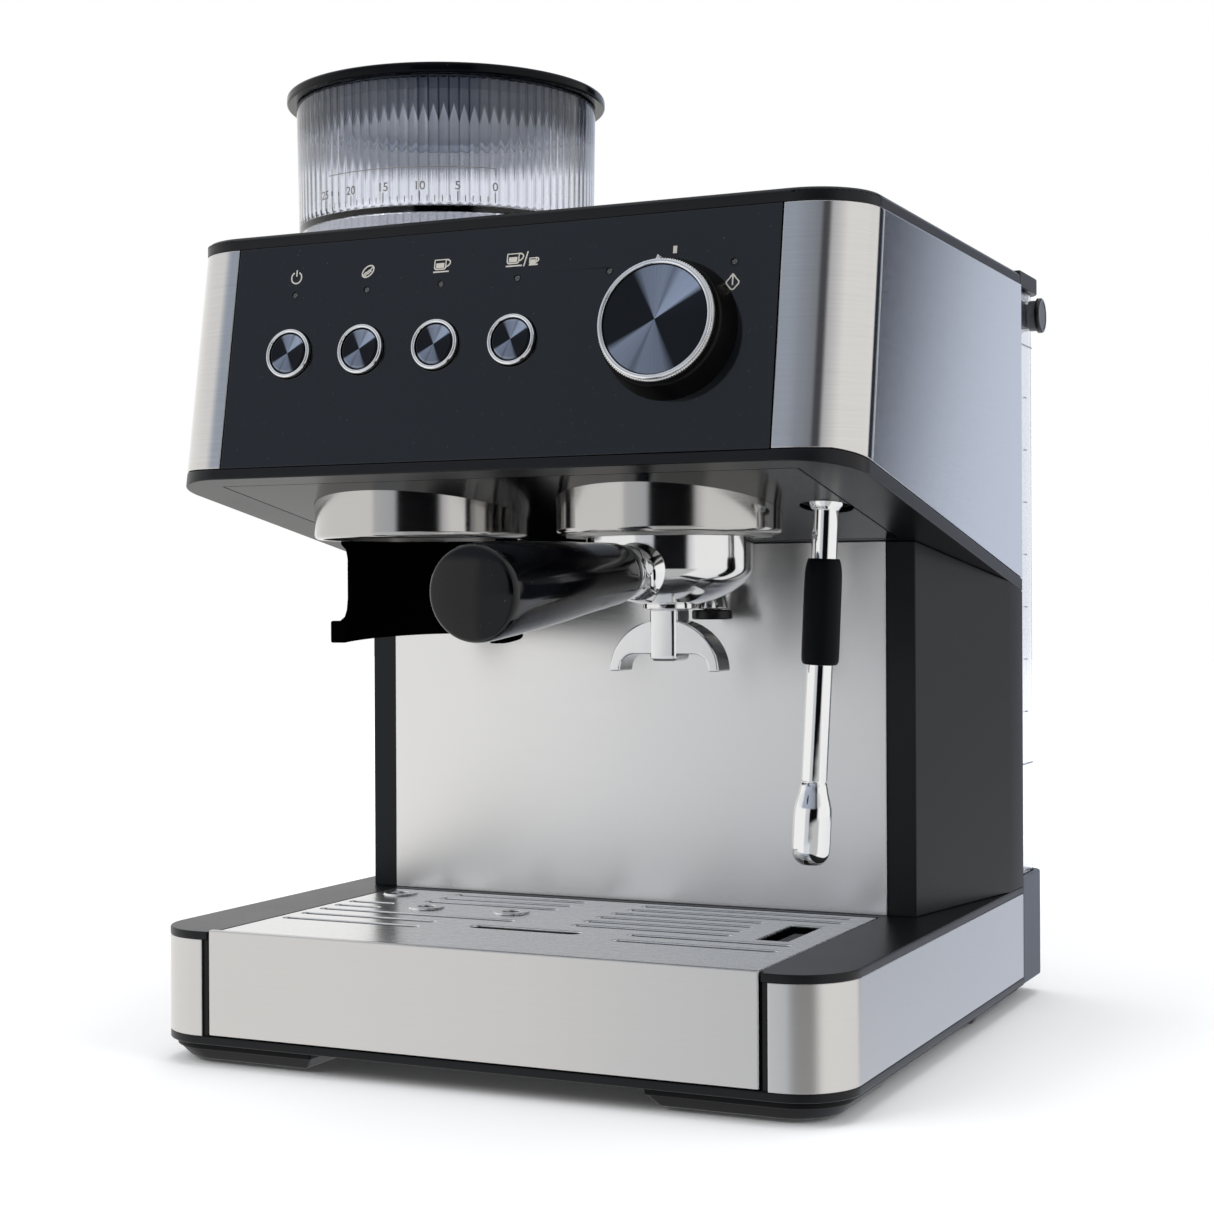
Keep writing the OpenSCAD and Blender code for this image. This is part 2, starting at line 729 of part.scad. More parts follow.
// Sawtooth outline of a burr
function burr_outline(teeth, r, depth) = [
    for (i = [0 : teeth - 1]) each [
        (r - depth) * [cos(i * 360 / teeth), sin(i * 360 / teeth)],
        r * [cos((i + 0.75) * 360 / teeth), sin((i + 0.75) * 360 / teeth)]
    ]
];

module cone_burr() color("#8d9095") from_front() at_burr() difference() {
    union() {
        translate([0, 0, burr_z0 + 4])
            linear_extrude(burr_z1 - burr_z0 - 4, twist = 50, scale = 0.5, slices = 10)
                polygon(burr_outline(7, cone_r, 4));
        translate([0, 0, burr_z0 + 0.5])
            linear_extrude(3.5, twist = 4, slices = 2) polygon(burr_outline(28, cone_r, 1));
    }
    rod(shaft_r, burr_z0, burr_z0 + 4);
    rod(3, burr_z0, far);
}

// Ring burr in its carrier, which turns with the hopper
module upper_burr() color("#74777b") from_front() at_burr() difference() {
    rod(carrier_r, burr_z0 + 4, burr_z1 + 14);
    translate([0, 0, burr_z0])
        linear_extrude(burr_z1 - burr_z0, twist = -16, scale = 1.12, slices = 6)
            polygon(burr_outline(24, cone_r + 2.2, 1));
    translate([0, 0, burr_z1 - eps]) cylinder(r1 = cone_r + 4, r2 = carrier_r - 4, h = 20);
}

function flute_outline(r, depth) = [
    for (i = [0 : flutes - 1]) each [
        (r - depth) * [cos(i * 360 / flutes), sin(i * 360 / flutes)],
        r * [cos((i + 0.5) * 360 / flutes), sin((i + 0.5) * 360 / flutes)]
    ]
];

// Clear bean hopper with a fluted inner wall and a funnel floor
module hopper() color(clear, 0.5) from_front() at_burr() difference() {
    union() {
        translate([0, 0, hopper_z0 + gap]) cylinder(r1 = hopper_r - 1.3, r2 = hopper_r, h = hopper_h - gap);
        rod(carrier_r + 2, burr_z1 + 14, hopper_z0 + 2);
    }
    translate([0, 0, hopper_z0 + 14]) linear_extrude(far) polygon(flute_outline(hopper_r - 2.4, 0.9));
    translate([0, 0, hopper_z0 + 3]) cylinder(r1 = 22, r2 = hopper_r - 4, h = 11 + eps);
    rod(21, 0, far);
}

// Lid with a rounded edge and a skirt that locates it inside the hopper
module hopper_lid() color("#101113") from_front() at_burr() translate([0, 0, hopper_z1 + gap])
    rotate_extrude() {
        square([lid_r - 1.5, 4.5]);
        square([lid_r, 3]);
        translate([lid_r - 1.5, 3]) circle(1.5);
        translate([hopper_r - 6.2, -5]) square([2, 5 + eps]);
    }

// ---------------------------------------------------------------- water and electrics

// Cast heating block over the brew group, with cooling ribs
module boiler() color("#a9abad") from_front() at_group() {
    rod(ring_r - 3, group_top_z, boiler_top_z);
    for (z = [group_top_z + 6 : 8 : boiler_top_z - 6]) rod(ring_r, z, z + 3);
    rod(9, boiler_top_z, boiler_top_z + 8);
}

// Vibration pump standing on its bracket in the column
module pump() color("#33373c") from_front() translate([pump_x, pump_y, pump_z]) {
    box(-38, 38, -16, 16, 0, 3);
    rod(19, 3, 60);
    box(-22, 22, -17, 17, 60, 64);
    rod(14, 64, 92);
    rod(5, 92, 104);
}

// Hoses from the tank's valve to the pump, and from the pump up to the heating block
module water_hoses() color("#d9d9d2") from_front() {
    pipe([
        [valve_x, valve_y, tank_z0 - 12 - hose_r - gap], [valve_x, valve_y, hose_z],
        [valve_x, body_d - 14, hose_z], [passage_x, body_d - 30, hose_z],
        [passage_x, pump_y, ledge_z + 24], [pump_x - 19.5 - hose_r, pump_y, ledge_z + 24]
    ], hose_r);
    pipe([
        [pump_x, pump_y, pump_z + 104 + hose_r + gap], [pump_x, pump_y, 200],
        [group_x, pump_y - 20, boiler_top_z + 24], [group_x, group_y, boiler_top_z + 24],
        [group_x, group_y, boiler_top_z + 8 + hose_r + gap]
    ], hose_r);
}

// Water and steam valve on the back of the front wall, turned by the selector knob
module steam_valve() color("#b08d4a") from_front() on_panel(knob_x, button_s) difference() {
    union() {
        translate([-13, -13, -panel_t - wall - 15]) cube([26, 26, 15]);
        translate([0, -12, -panel_t - wall - 9]) rotate([90, 0, 0]) rod(4, 0, 8);
    }
    rod(knob_axle_r + running, -panel_t - wall - 12.5, 1);
}

// Hot water spout behind the brew group, with a black tip
module hot_water_outlet() color(chrome) from_front() translate([hot_x, hot_y, 0]) difference() {
    union() {
        rod(4, hot_z, under_z(hot_y) + floor_t + 12);
        rod(6.2, under_z(hot_y) + floor_t + 1.2, under_z(hot_y) + floor_t + 4);
        rod(9, hot_z + 4, hot_z + 8);
    }
    rod(2.5, hot_z - 1, hot_z + 30);
}

module control_board() color("#2c5a3a") from_front() {
    on_panel() difference() {
        translate([-112, 34, -17]) cube([140, 48, 1.6]);
        for (x = [-100, 18]) translate([x, 40, 0]) rod(1.6, -20, 0);
    }
    // Switches under the four buttons
    for (x = button_x) on_panel(x, button_s) translate([-6, -6, -15.4]) cube([12, 12, 4]);
    // Posts to the front wall
    for (x = [-100, 18]) on_panel(x, 40) rod(1.6, -18, -panel_t - wall);
}

// Valve seat that the tank's outlet sits in
module tank_seat() color("#c8c4ba") from_front() translate([valve_x, valve_y, 0]) difference() {
    union() {
        rod(10.7, tank_z0 - 12, tank_z0 - 0.5);
        rod(13, tank_z0 - 6, tank_z0 - 0.5 - wall);
    }
    rod(7.2, tank_z0 - 6, far);
    rod(4, tank_z0 - 14, far);
}

// Gland in the back of the tank bay for the mains lead
module cord_gland() color("#202123") from_front() translate([-100, 0, hose_z]) rotate([-90, 0, 0]) difference() {
    union() {
        rod(8.8, rear_y - 8, rear_y);
        rod(11, rear_y - wall - 3, rear_y - wall);
    }
    rod(4, 0, far);
}

// ---------------------------------------------------------------- controls

module button_bezels() color(chrome) from_front() for (x = button_x) on_panel(x, button_s) rotate_extrude()
    difference() {
        union() {
            translate([bezel_d / 2 - 2, -panel_t]) square([2 - gap, panel_t + 1.6]);
            translate([bezel_d / 2 - 1.15, 1.6]) circle(0.85);
        }
        translate([-5, -20]) square([5, 40]);
    }

module push_button(i) from_front() on_panel(button_x[i], button_s) {
    rod(bezel_d / 2 - 2.3, -panel_t + button_travel + gap, 1.6);
    translate([0, 0, 1.6 - eps]) cylinder(r1 = bezel_d / 2 - 2.3, r2 = bezel_d / 2 - 3, h = 0.7);
    rod(3, -11.2 + button_travel, 0);
}

module power_button() color("#24272c") push_button(0);

module grind_button() color("#24272c") push_button(1);

module single_button() color("#24272c") push_button(2);

module double_button() color("#24272c") push_button(3);

// Knob with a skirt at the panel and an axle into the valve
module selector_knob() color("#15161a") from_front() on_panel(knob_x, button_s) {
    cylinder(r1 = knob_skirt_r, r2 = knob_d / 2 + 1.5, h = knob_h - 5);
    translate([0, 0, knob_h - 5 - eps]) rod(knob_d / 2 - 2, 0, 4.2);
    rod(knob_axle_r, -panel_t - wall - 12, eps);
}

module knob_ring() color(chrome) from_front() on_panel(knob_x, button_s) difference() {
    union() {
        translate([0, 0, knob_h - 4.7]) linear_extrude(3) polygon([
            for (i = [0 : 2 * knurls - 1])
                (knob_d / 2 + (i % 2 ? 0 : 0.5)) * [cos(i * 180 / knurls), sin(i * 180 / knurls)]
        ]);
        rod(knob_d / 2 - 0.5, knob_h - 2, knob_h);
        // Pointer on the rim
        translate([-1.5, knob_d / 2 - 1, knob_h - 4.7]) cube([3, 3, 4.7]);
    }
    rod(knob_d / 2 - 2, 0, far);
}

// ---------------------------------------------------------------- portafilter

// Bowl with two bayonet ears, the twin spout and the ferrule of the grip
module portafilter() color(chrome) from_front() at_group() {
    difference() {
        union() {
            rotate_extrude() polygon([
                [0, neck_z + 2], [10.5, neck_z + 2], [12, neck_z + 5], [20, 196], [28, 198.5], [33, 203],
                [bowl_r, 208], [bowl_r, rim_z], [0, rim_z]
            ]);
            intersection() {
                rod(ear_r, ear_z, ear_z + 5);
                box(-ear_r, ear_r, -8, 8, 0, far);
            }
        }
        rod(bowl_bore_r, 203, far);
        rod(3, 0, far);
    }
    // Neck and spout arms
    difference() {
        union() {
            rod(7.5, 183, neck_z + 2.5);
            rod(10.5, neck_z, neck_z + 3.5);
            both_arms() translate([outlet_gap / 2 - 16, 0, spout_z0 + 4])
                rotate([90, 0, 0]) rotate_extrude(angle = 90) translate([16, 0]) circle(5.6);
            both_arms() translate([outlet_gap / 2, 0, 0]) rod(5.8, spout_z0, spout_z0 + 4.2);
            translate([0, 0, spout_z0 + 20]) rotate([0, 90, 0]) rod(5.4, -outlet_gap / 2 + 15.9, outlet_gap / 2 - 15.9);
        }
        rod(3, spout_z0 + 19, far);
        both_arms() translate([outlet_gap / 2, 0, 0]) rod(4, spout_z0 - 1, spout_z0 + 4);
    }
    // Ferrule
    along_grip() rod(10, 34, 57);
}

module both_arms() {
    children();
    mirror([1, 0, 0]) children();
}

// Local z runs forward and slightly down from the middle of the bowl
module along_grip() translate([0, 0, 210]) rotate([90 + grip_slope, 0, 0]) children();

module portafilter_grip() color("#0e0e10") from_front() at_group() along_grip() translate([0, 0, 57]) rotate_extrude()
    difference() {
        union() {
            polygon([
                [0, 0], [11, 0], [12, 2], [12.6, 12], [13.6, 30], [15, 50], [16.4, 74], [17.4, 98],
                [grip_r, grip_len - 12], [grip_r - 1, grip_len - 6], [grip_r - 4, grip_len - 2], [grip_r - 9, grip_len - 0.4],
                [0, grip_len]
            ]);
        }
        translate([-1, -1]) square([1, far]);
    }

module filter_basket() color(steel) from_front() at_group() difference() {
    union() {
        rod(basket_d / 2 + 0.6, 206, rim_z);
        rod(bowl_r, rim_z, rim_z + basket_rim_t);
    }
    rod(basket_d / 2, 206.8, far);
    for (r = [6 : 6 : 24]) for (a = [0 : 240 / r : 359]) rotate([0, 0, a]) translate([r, 0, 0]) rod(0.8, 200, 207);
}

// ---------------------------------------------------------------- steam wand

module at_ball() translate([wand_x, wand_y, ball_z]) children();

// Swivel ring between the housing and the ball
module wand_swivel() color("#4b4d50") from_front() at_ball() difference() {
    intersection() {
        sphere(swivel_r);
        rod(swivel_r, -2.4, 3.6);
    }
    sphere(ball_r + 0.08);
}

module steam_wand() color(chrome) from_front() at_ball() rotate([0, wand_lean, 0]) difference() {
    union() {
        sphere(ball_r);
        rod(wand_d / 2, -wand_len + 24, -4);
        // Tip: nut, bulb and rounded end
        translate([0, 0, -wand_len + 24]) cylinder(r1 = 7.7, r2 = wand_d / 2, h = 9);
        rod(7.7, -wand_len + 7.7, -wand_len + 24);
        translate([0, 0, -wand_len + 7.7]) sphere(7.7);
    }
    rod(2, -wand_len - 1, -wand_len + 20);
}

module wand_grip() color("#141414") from_front() at_ball() rotate([0, wand_lean, 0]) translate([0, 0, grip_top])
    rotate_extrude() polygon([
        [wand_d / 2, 0], [wand_d / 2 + 1.4, 0], [7.2, -2], [7.75, -6], [7.75, -38], [7.2, -43], [wand_d / 2, -43]
    ]);

// ---------------------------------------------------------------- drip tray

module drip_tray() color("#1d1e20") from_front() difference() {
    box(-tray_x, tray_x, front_t, tray_y1, tray_z0, grid_z);
    box(-tray_x + 2, tray_x - 2, front_t + 2, tray_y1 - 2, tray_z0 + 2.2, far);
}

module tray_front() color(steel) from_front() difference() {
    box(-tray_front_w / 2, tray_front_w / 2, 0, front_t, wrap_z0 + 0.5, ledge_z + 0.8);
    box(-tray_front_w / 2 + skin, tray_front_w / 2 - skin, skin, front_t + 1, wrap_z0 + 1.7, ledge_z - 0.4);
}

module tray_grid() color(steel) from_front() difference() {
    union() {
        box(-tray_x, tray_x, front_t + gap, tray_y1, grid_z, ledge_z);
        for (p = dimples) translate([p.x * tray_x, row_y(p.y), 0]) rod(8, ledge_z - eps, ledge_z + 0.8);
    }
    for (s = concat(left_slots, right_slots)) slot(s[0] * tray_x, s[1] * tray_x, row_y(s[2]), 5, 0, far);
    slot(-30, 22, finger_y, 8, 0, far);
    for (p = dimples) translate([p.x * tray_x, row_y(p.y), 0]) rod(4, 0, far);
    box(float_x - 7, float_x + 7, float_y - float_window, float_y + float_window, 0, far);
}

// Float that shows through its window when the tray is full
module tray_float() color("#26282b") from_front() {
    long = float_window - 4;
    box(float_x - 5, float_x + 5, float_y - long, float_y + long, tray_z0 + 2.5, tray_z0 + 14);
    box(float_x - 3, float_x + 3, float_y - long + 4, float_y + long - 4, tray_z0 + 14 - eps, grid_z - 1);
}

// ---------------------------------------------------------------- water tank

module water_tank() color(clear, 0.5) from_front() difference() {
    union() {
        slab(2 * tank_x, tank_y0, tank_y1, tank_z0, tank_top_z, 3, tank_corner_r);
        translate([valve_x, valve_y, 0]) rod(7, tank_z0 - 5.5, tank_z0 + 1);
    }
    slab(2 * (tank_x - tank_wall), tank_y0 + tank_wall, tank_y1 - tank_wall, tank_z0 + tank_wall, far, 1,
        tank_corner_r - tank_wall);
    translate([valve_x, valve_y, 0]) rod(4, 0, tank_z0 + 10);
    // Holes for the handle's pivots
    translate([0, pivot_y, pivot_z]) rotate([0, 90, 0]) rod(3, -body_w, body_w);
}

module tank_lid() color(black) from_front() {
    slab(body_w - 1, body_d + gap, rear_y, tank_top_z + gap, top_z + 1.5, 1, bay_corner_r);
    difference() {
        lid_skirt(tank_wall + gap, tank_top_z - 3, tank_top_z + 1);
        lid_skirt(tank_wall + gap + 2, tank_top_z - 4, tank_top_z);
    }
}

module lid_skirt(inset, z0, z1)
    slab(2 * (tank_x - inset), tank_y0 + inset, tank_y1 - inset, z0, z1, 1, tank_corner_r - inset);

// Carry handle folded under the lid: pivots with round caps, arms and a cross bar
module tank_handle() color("#5b5f64") from_front() {
    both_sides() {
        translate([0, pivot_y, pivot_z]) rotate([0, 90, 0]) rod(2.9, tank_x - tank_wall - 4, tank_x + 0.2);
        translate([0, pivot_y, pivot_z]) rotate([0, 90, 0]) rod(7.5, tank_x + 0.2, tank_x + 3.5 + 2.8);
        box(tank_x - tank_wall - 4, tank_x - tank_wall - 0.5, tank_y0 + tank_wall + 1, pivot_y + 3, pivot_z - 6, pivot_z + 6);
    }
    box(-tank_x + tank_wall + 0.5, tank_x - tank_wall - 0.5, tank_y0 + tank_wall + 1, tank_y0 + tank_wall + 7, pivot_z - 6, pivot_z + 6);
}

base_housing();
base_wraps();
base_pan();
rubber_feet();
rear_base();
column_shell();
backsplash();
head_frame();
underside_panel();
control_panel();
corner_trims();
side_panels();
top_cover();
warmer_plate();
grinder_collar();
group_collar();
group_head();
brew_gasket();
shower_screen();
grinder_cradle();
status_leds();
grind_chamber();
grinder_gearbox();
burr_bearings();
grinder_motor();
boiler();
pump();
water_hoses();
steam_valve();
hot_water_outlet();
control_board();
tank_seat();
cord_gland();
button_bezels();
power_button();
grind_button();
single_button();
double_button();
selector_knob();
knob_ring();
hopper();
hopper_lid();
upper_burr();
cone_burr();
drive_gear();
idler_gear();
motor_pinion();
portafilter();
portafilter_grip();
filter_basket();
wand_swivel();
steam_wand();
wand_grip();
drip_tray();
tray_front();
tray_grid();
tray_float();
water_tank();
tank_lid();
tank_handle();
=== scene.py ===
"""Looks for the espresso machine with its built-in burr grinder.

Places are in metres and outlines in millimetres. X runs to the user's right, Y away from the user,
and Z up.
"""

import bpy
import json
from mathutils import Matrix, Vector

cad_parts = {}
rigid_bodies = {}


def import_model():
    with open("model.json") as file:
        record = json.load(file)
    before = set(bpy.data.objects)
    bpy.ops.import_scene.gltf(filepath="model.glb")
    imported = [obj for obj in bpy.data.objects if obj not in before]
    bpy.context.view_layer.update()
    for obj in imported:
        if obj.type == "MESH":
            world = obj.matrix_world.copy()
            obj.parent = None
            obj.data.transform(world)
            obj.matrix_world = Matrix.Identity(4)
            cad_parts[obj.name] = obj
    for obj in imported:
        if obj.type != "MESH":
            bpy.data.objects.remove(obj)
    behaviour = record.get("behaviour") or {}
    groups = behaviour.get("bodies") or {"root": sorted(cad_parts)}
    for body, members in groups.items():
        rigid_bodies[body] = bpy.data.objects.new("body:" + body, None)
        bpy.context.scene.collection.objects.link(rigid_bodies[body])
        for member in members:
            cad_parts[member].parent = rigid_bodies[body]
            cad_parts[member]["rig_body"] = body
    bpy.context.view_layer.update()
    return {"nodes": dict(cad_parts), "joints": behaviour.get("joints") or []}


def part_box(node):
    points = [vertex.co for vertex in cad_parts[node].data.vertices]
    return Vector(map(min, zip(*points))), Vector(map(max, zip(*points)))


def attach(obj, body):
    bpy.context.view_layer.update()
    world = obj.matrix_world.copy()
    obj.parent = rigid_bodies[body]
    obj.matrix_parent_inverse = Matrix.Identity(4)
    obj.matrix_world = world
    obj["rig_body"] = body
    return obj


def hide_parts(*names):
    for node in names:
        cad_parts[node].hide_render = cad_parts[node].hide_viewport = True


bl_info = {
    "name": "Espresso Machine Looks",
    "version": (1, 0, 0),
    "blender": (4, 5, 0),
    "location": "View3D > Sidebar > Coffee",
    "description": "Finishes, details and studio for an espresso machine with a burr grinder",
    "category": "Object",
}

import json
import math

import bpy
from mathutils import Matrix, Vector
from mathutils.bvhtree import BVHTree

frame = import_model()
NODES = frame["nodes"]
PIVOTS = {joint["name"]: Vector(joint["pos_m"]) for joint in frame["joints"] if joint.get("pos_m")}
MM = 0.001
MERGE_GAP = 0.001  # in mm: closer vertices are one
PRINT_FLATNESS = 0.12  # of a printed line's height to its width
ORIGIN = (0, 0, 0)
UP_AXIS = (0, 0, 1)


# ---- values that a user changes


class CoffeeLooks(bpy.types.PropertyGroup):
    """Sizes and colours of the machine's looks."""

    edge_round: bpy.props.FloatProperty(
        name="Edge Rounding", description="Radius of the rounded edges of the mouldings",
        default=0.0006, min=0.0001, max=0.002, unit="LENGTH")
    sheet_round: bpy.props.FloatProperty(
        name="Sheet Edge", description="Radius of the rounded edges of the thin steel sheets",
        default=0.00025, min=0.0001, max=0.0006, unit="LENGTH")
    flute_depth: bpy.props.FloatProperty(
        name="Flute Depth", description="Depth of the flutes inside the hopper",
        default=0.0004, min=0.0003, max=0.002, unit="LENGTH")
    flute_count: bpy.props.IntProperty(
        name="Flutes", description="Number of flutes round the hopper", default=96, min=24, max=120)
    knurl_count: bpy.props.IntProperty(
        name="Knurls", description="Number of teeth round the selector's ring", default=144, min=60, max=180)
    steel: bpy.props.FloatVectorProperty(
        name="Steel", description="Colour of the front's brushed steel", subtype="COLOR",
        default=(0.62, 0.61, 0.595), min=0, max=1)
    # Tinted cooler and a little darker than the front's steel: the side steel's own colour with painted cool
    # light.
    side_steel: bpy.props.FloatVectorProperty(
        name="Side Steel", description="Colour of the side panels' steel", subtype="COLOR",
        default=(0.58, 0.59, 0.61), min=0, max=1)
    moulding: bpy.props.FloatVectorProperty(
        name="Mouldings", description="Colour of the black mouldings", subtype="COLOR",
        default=(0.0045, 0.005, 0.0062), min=0, max=1)
    lacquer: bpy.props.FloatVectorProperty(
        name="Control Panel", description="Colour of the glossy control panel", subtype="COLOR",
        default=(0.004, 0.0048, 0.0065), min=0, max=1)
    print_ink: bpy.props.FloatVectorProperty(
        name="Print", description="Colour of the printed marks", subtype="COLOR",
        default=(0.5, 0.48, 0.43), min=0, max=1)


def looks():
    return bpy.context.scene.coffee_looks


# ---- shader maths


class Wire:
    """A shader socket. Sums and products of wires add Math nodes."""

    def __init__(self, finish, socket):
        self.finish = finish
        self.socket = socket

    def math(self, operation, other=None):
        return self.finish.node("ShaderNodeMath", {"operation": operation}, self, other)

    def __add__(self, other):
        return self.math("ADD", other)

    def __sub__(self, other):
        return self.math("SUBTRACT", other)

    def __rsub__(self, other):
        return self.finish.node("ShaderNodeMath", {"operation": "SUBTRACT"}, other, self)

    def __mul__(self, other):
        return self.math("MULTIPLY", other)

    def __truediv__(self, other):
        return self.math("DIVIDE", other)

    __radd__ = __add__
    __rmul__ = __mul__

    def clamp(self):
        return self.finish.node("ShaderNodeClamp", {}, self)

    def step(self, low, high):
        """Rises smoothly from 0 at low to 1 at high."""
        settings = {"interpolation_type": "SMOOTHSTEP"}
        return self.finish.node("ShaderNodeMapRange", settings, self, low, high)


class Finish:
    """A procedural material, or the world, and the nodes that make it."""

    def __init__(self, name, owner=None):
        self.owner = owner or bpy.data.materials.new(name)
        self.owner.use_nodes = True
        self.tree = self.owner.node_tree
        self.tree.nodes.clear()
        self.place = None

    def node(self, kind, settings, *values, output=0, **named):
        """Adds a node: its settings first, then its sockets' values or links."""
        node = self.tree.nodes.new(kind)
        for key, value in settings.items():
            if key == "stops":
                self.set_stops(node.color_ramp, value)
            else:
                setattr(node, key, value)
        for index, value in enumerate(values):
            self.feed(node.inputs[index], value)
        for key, value in named.items():
            self.feed(node.inputs[key.replace("_", " ")], value)
        return Wire(self, node.outputs[output]) if node.outputs else node

    def set_stops(self, ramp, stops):
        while len(ramp.elements) < len(stops):
            ramp.elements.new(1)
        for element, (position, colour) in zip(ramp.elements, stops):
            element.position = position
            element.color = colour if len(colour) == 4 else (*colour, 1)

    def feed(self, socket, value):
        if isinstance(value, Wire):
            self.tree.links.new(value.socket, socket)
        elif value is not None:
            if socket.type == "RGBA" and len(value) == 3:
                value = (*value, 1)
            socket.default_value = value

    def spot(self):
        """The place on the object, in metres."""
        if self.place is None:
            node = self.tree.nodes.new("ShaderNodeTexCoord")
            self.place = Wire(self, node.outputs["Object"])
        return self.place

    def ray(self, kind):
        """1 where a ray of that kind arrives, else 0."""
        node = self.tree.nodes.new("ShaderNodeLightPath")
        return Wire(self, node.outputs[f"Is {kind} Ray"])

    def axis(self, index, of):
        """One coordinate of a vector."""
        node = self.tree.nodes.new("ShaderNodeSeparateXYZ")
        self.feed(node.inputs[0], of)
        return Wire(self, node.outputs[index])

    def moved(self, centre=(0, 0, 0), scale=(1, 1, 1), turn=(0, 0, 0)):
        """The place measured from centre, turned and scaled."""
        centred = self.node("ShaderNodeVectorMath", {"operation": "SUBTRACT"}, self.spot(), centre)
        settings = {"vector_type": "TEXTURE"}
        turned = self.node("ShaderNodeMapping", settings, centred, Rotation=turn)
        return self.node("ShaderNodeVectorMath", {"operation": "MULTIPLY"}, turned, scale)

    def noise(self, size, detail, rough=0.5, place=None):
        """Noise whose grains are about size metres across."""
        sockets = {"Vector": place or self.spot(), "Scale": 1 / size, "Detail": detail, "Roughness": rough}
        return self.node("ShaderNodeTexNoise", {}, **sockets)

    def mix(self, share, first, second):
        """Blends two colours."""
        node = self.tree.nodes.new("ShaderNodeMix")
        node.data_type = "RGBA"
        for socket, value in zip((node.inputs[0], node.inputs[6], node.inputs[7]), (share, first, second)):
            self.feed(socket, value)
        return Wire(self, node.outputs[2])

    def shaded(self, share, tint, dark, light):
        """The tint, from dark to light times as strong."""
        return self.mix(share, [c * dark for c in tint], [c * light for c in tint])

    def rounded(self, radius):
        """The surface's normal with its edges rounded to that radius."""
        return self.node("ShaderNodeBevel", {"samples": 4}, radius)

    def bump(self, height, depth, normal=None):
        return self.node("ShaderNodeBump", {}, Strength=1.0, Distance=depth, Height=height, Normal=normal)

    def grained(self, radius, grain, depth):
        """Rounded edges with a fine grain pressed into them."""
        return self.bump(grain, depth, self.rounded(radius))

    def surface(self, **sockets):
        shader = self.node("ShaderNodeBsdfPrincipled", {}, **sockets)
        self.node("ShaderNodeOutputMaterial", {}, shader)
        return self.owner


# ---- modelling


def open_mesh():
    bpy.ops.object.mode_set(mode="EDIT")


def close_mesh():
    bpy.ops.object.mode_set(mode="OBJECT")


def alone():
    """Object mode, with nothing selected."""
    if bpy.context.mode != "OBJECT":
        close_mesh()
    bpy.ops.object.select_all(action="DESELECT")


def pick(*pieces):
    """Selects only these pieces, the first one active."""
    alone()
    for piece in pieces:
        piece.select_set(True)
    bpy.context.view_layer.objects.active = pieces[0]


def begin(name, add, **settings):
    """Adds a primitive in a selection of its own and opens it for editing."""
    alone()
    add(**settings)
    piece = bpy.context.object
    piece.name = piece.data.name = name
    open_mesh()
    return piece


def choose(piece, test):
    """Selects the vertices whose places pass the test."""
    bpy.ops.mesh.select_mode(type="VERT")
    bpy.ops.mesh.select_all(action="DESELECT")
    close_mesh()
    for vertex in piece.data.vertices:
        vertex.select = bool(test(vertex.co))
    open_mesh()


def angle_of(spot):
    """The angle round Z, in degrees from 0 to 360."""
    return math.degrees(math.atan2(spot.y, spot.x)) % 360


def arc(centre, radius, start, end, steps=8):
    """Points on an arc, with its angles in degrees."""
    turns = [math.radians(start + (end - start) * i / steps) for i in range(steps + 1)]
    return [(centre[0] + radius * math.cos(t), centre[1] + radius * math.sin(t)) for t in turns]


def flowing(points, parts=4):
    """A smooth outline through the points, each stretch in a few parts."""
    ends = [points[0], *points, points[-1]]
    out = []
    for i in range(1, len(ends) - 2):
        before, here, there, after = (Vector((*p, 0)) for p in ends[i - 1:i + 3])
        for part in range(parts):
            t = part / parts
            spot = 2 * here + (there - before) * t + (2 * before - 5 * here + 4 * there - after) * t ** 2
            spot += (3 * here - before - 3 * there + after) * t ** 3
            out.append((max(spot.x / 2, 0), spot.y / 2))
    return out + [points[-1]]


def everything():
    """Selects the whole mesh that is open for editing."""
    bpy.ops.mesh.select_all(action="SELECT")


def chain(name, stops, closed=True):
    """A piece open for editing that holds a line through the stops, in mm."""
    piece = begin(name, bpy.ops.mesh.primitive_plane_add, size=1)
    bpy.ops.mesh.merge(type="CENTER")
    bpy.ops.transform.translate(value=stops[0])
    for start, end in zip(stops, [*stops[1:], stops[0]] if closed else stops[1:]):
        step = tuple(there - here for here, there in zip(start, end))
        bpy.ops.mesh.extrude_vertices_move(TRANSFORM_OT_translate={"value": step})
    everything()
    return piece


def upright(outline):
    """Places on XZ for an outline of radii and heights."""
    return [(radius, 0, height) for radius, height in outline]


def filled(name, stops):
    """A flat face, open for editing, whose edge runs through the stops."""
    piece = chain(name, stops)
    bpy.ops.mesh.remove_doubles(threshold=MERGE_GAP)
    everything()
    bpy.ops.mesh.edge_face_add()
    return piece


def sweep(steps, turn, copies=False):
    """Spins the selection round Z, as one surface or as copies."""
    bpy.ops.mesh.spin(steps=steps, dupli=copies, angle=turn, center=ORIGIN, axis=UP_AXIS)
    everything()
    bpy.ops.mesh.remove_doubles(threshold=MERGE_GAP)


def close_up():
    """Turns the faces outwards and ends the editing."""
    everything()
    bpy.ops.mesh.normals_make_consistent(inside=False)
    close_mesh()


def turned(name, outline, steps=96, closed=False):
    """A piece turned on a lathe round Z. The outline holds radius and height in mm."""
    piece = chain(name, upright(outline), closed)
    sweep(steps, math.tau)
    close_up()
    return piece


def round_edges(piece, width, segments, angle, clamped=True):
    """Rounds the edges that turn by more than angle, in degrees."""
    rounding = piece.modifiers.new("rounding", "BEVEL")
    rounding.width = width
    rounding.segments = segments
    rounding.limit_method = "ANGLE"
    rounding.angle_limit = math.radians(angle)
    rounding.use_clamp_overlap = clamped
    bpy.ops.object.modifier_apply(modifier="rounding")


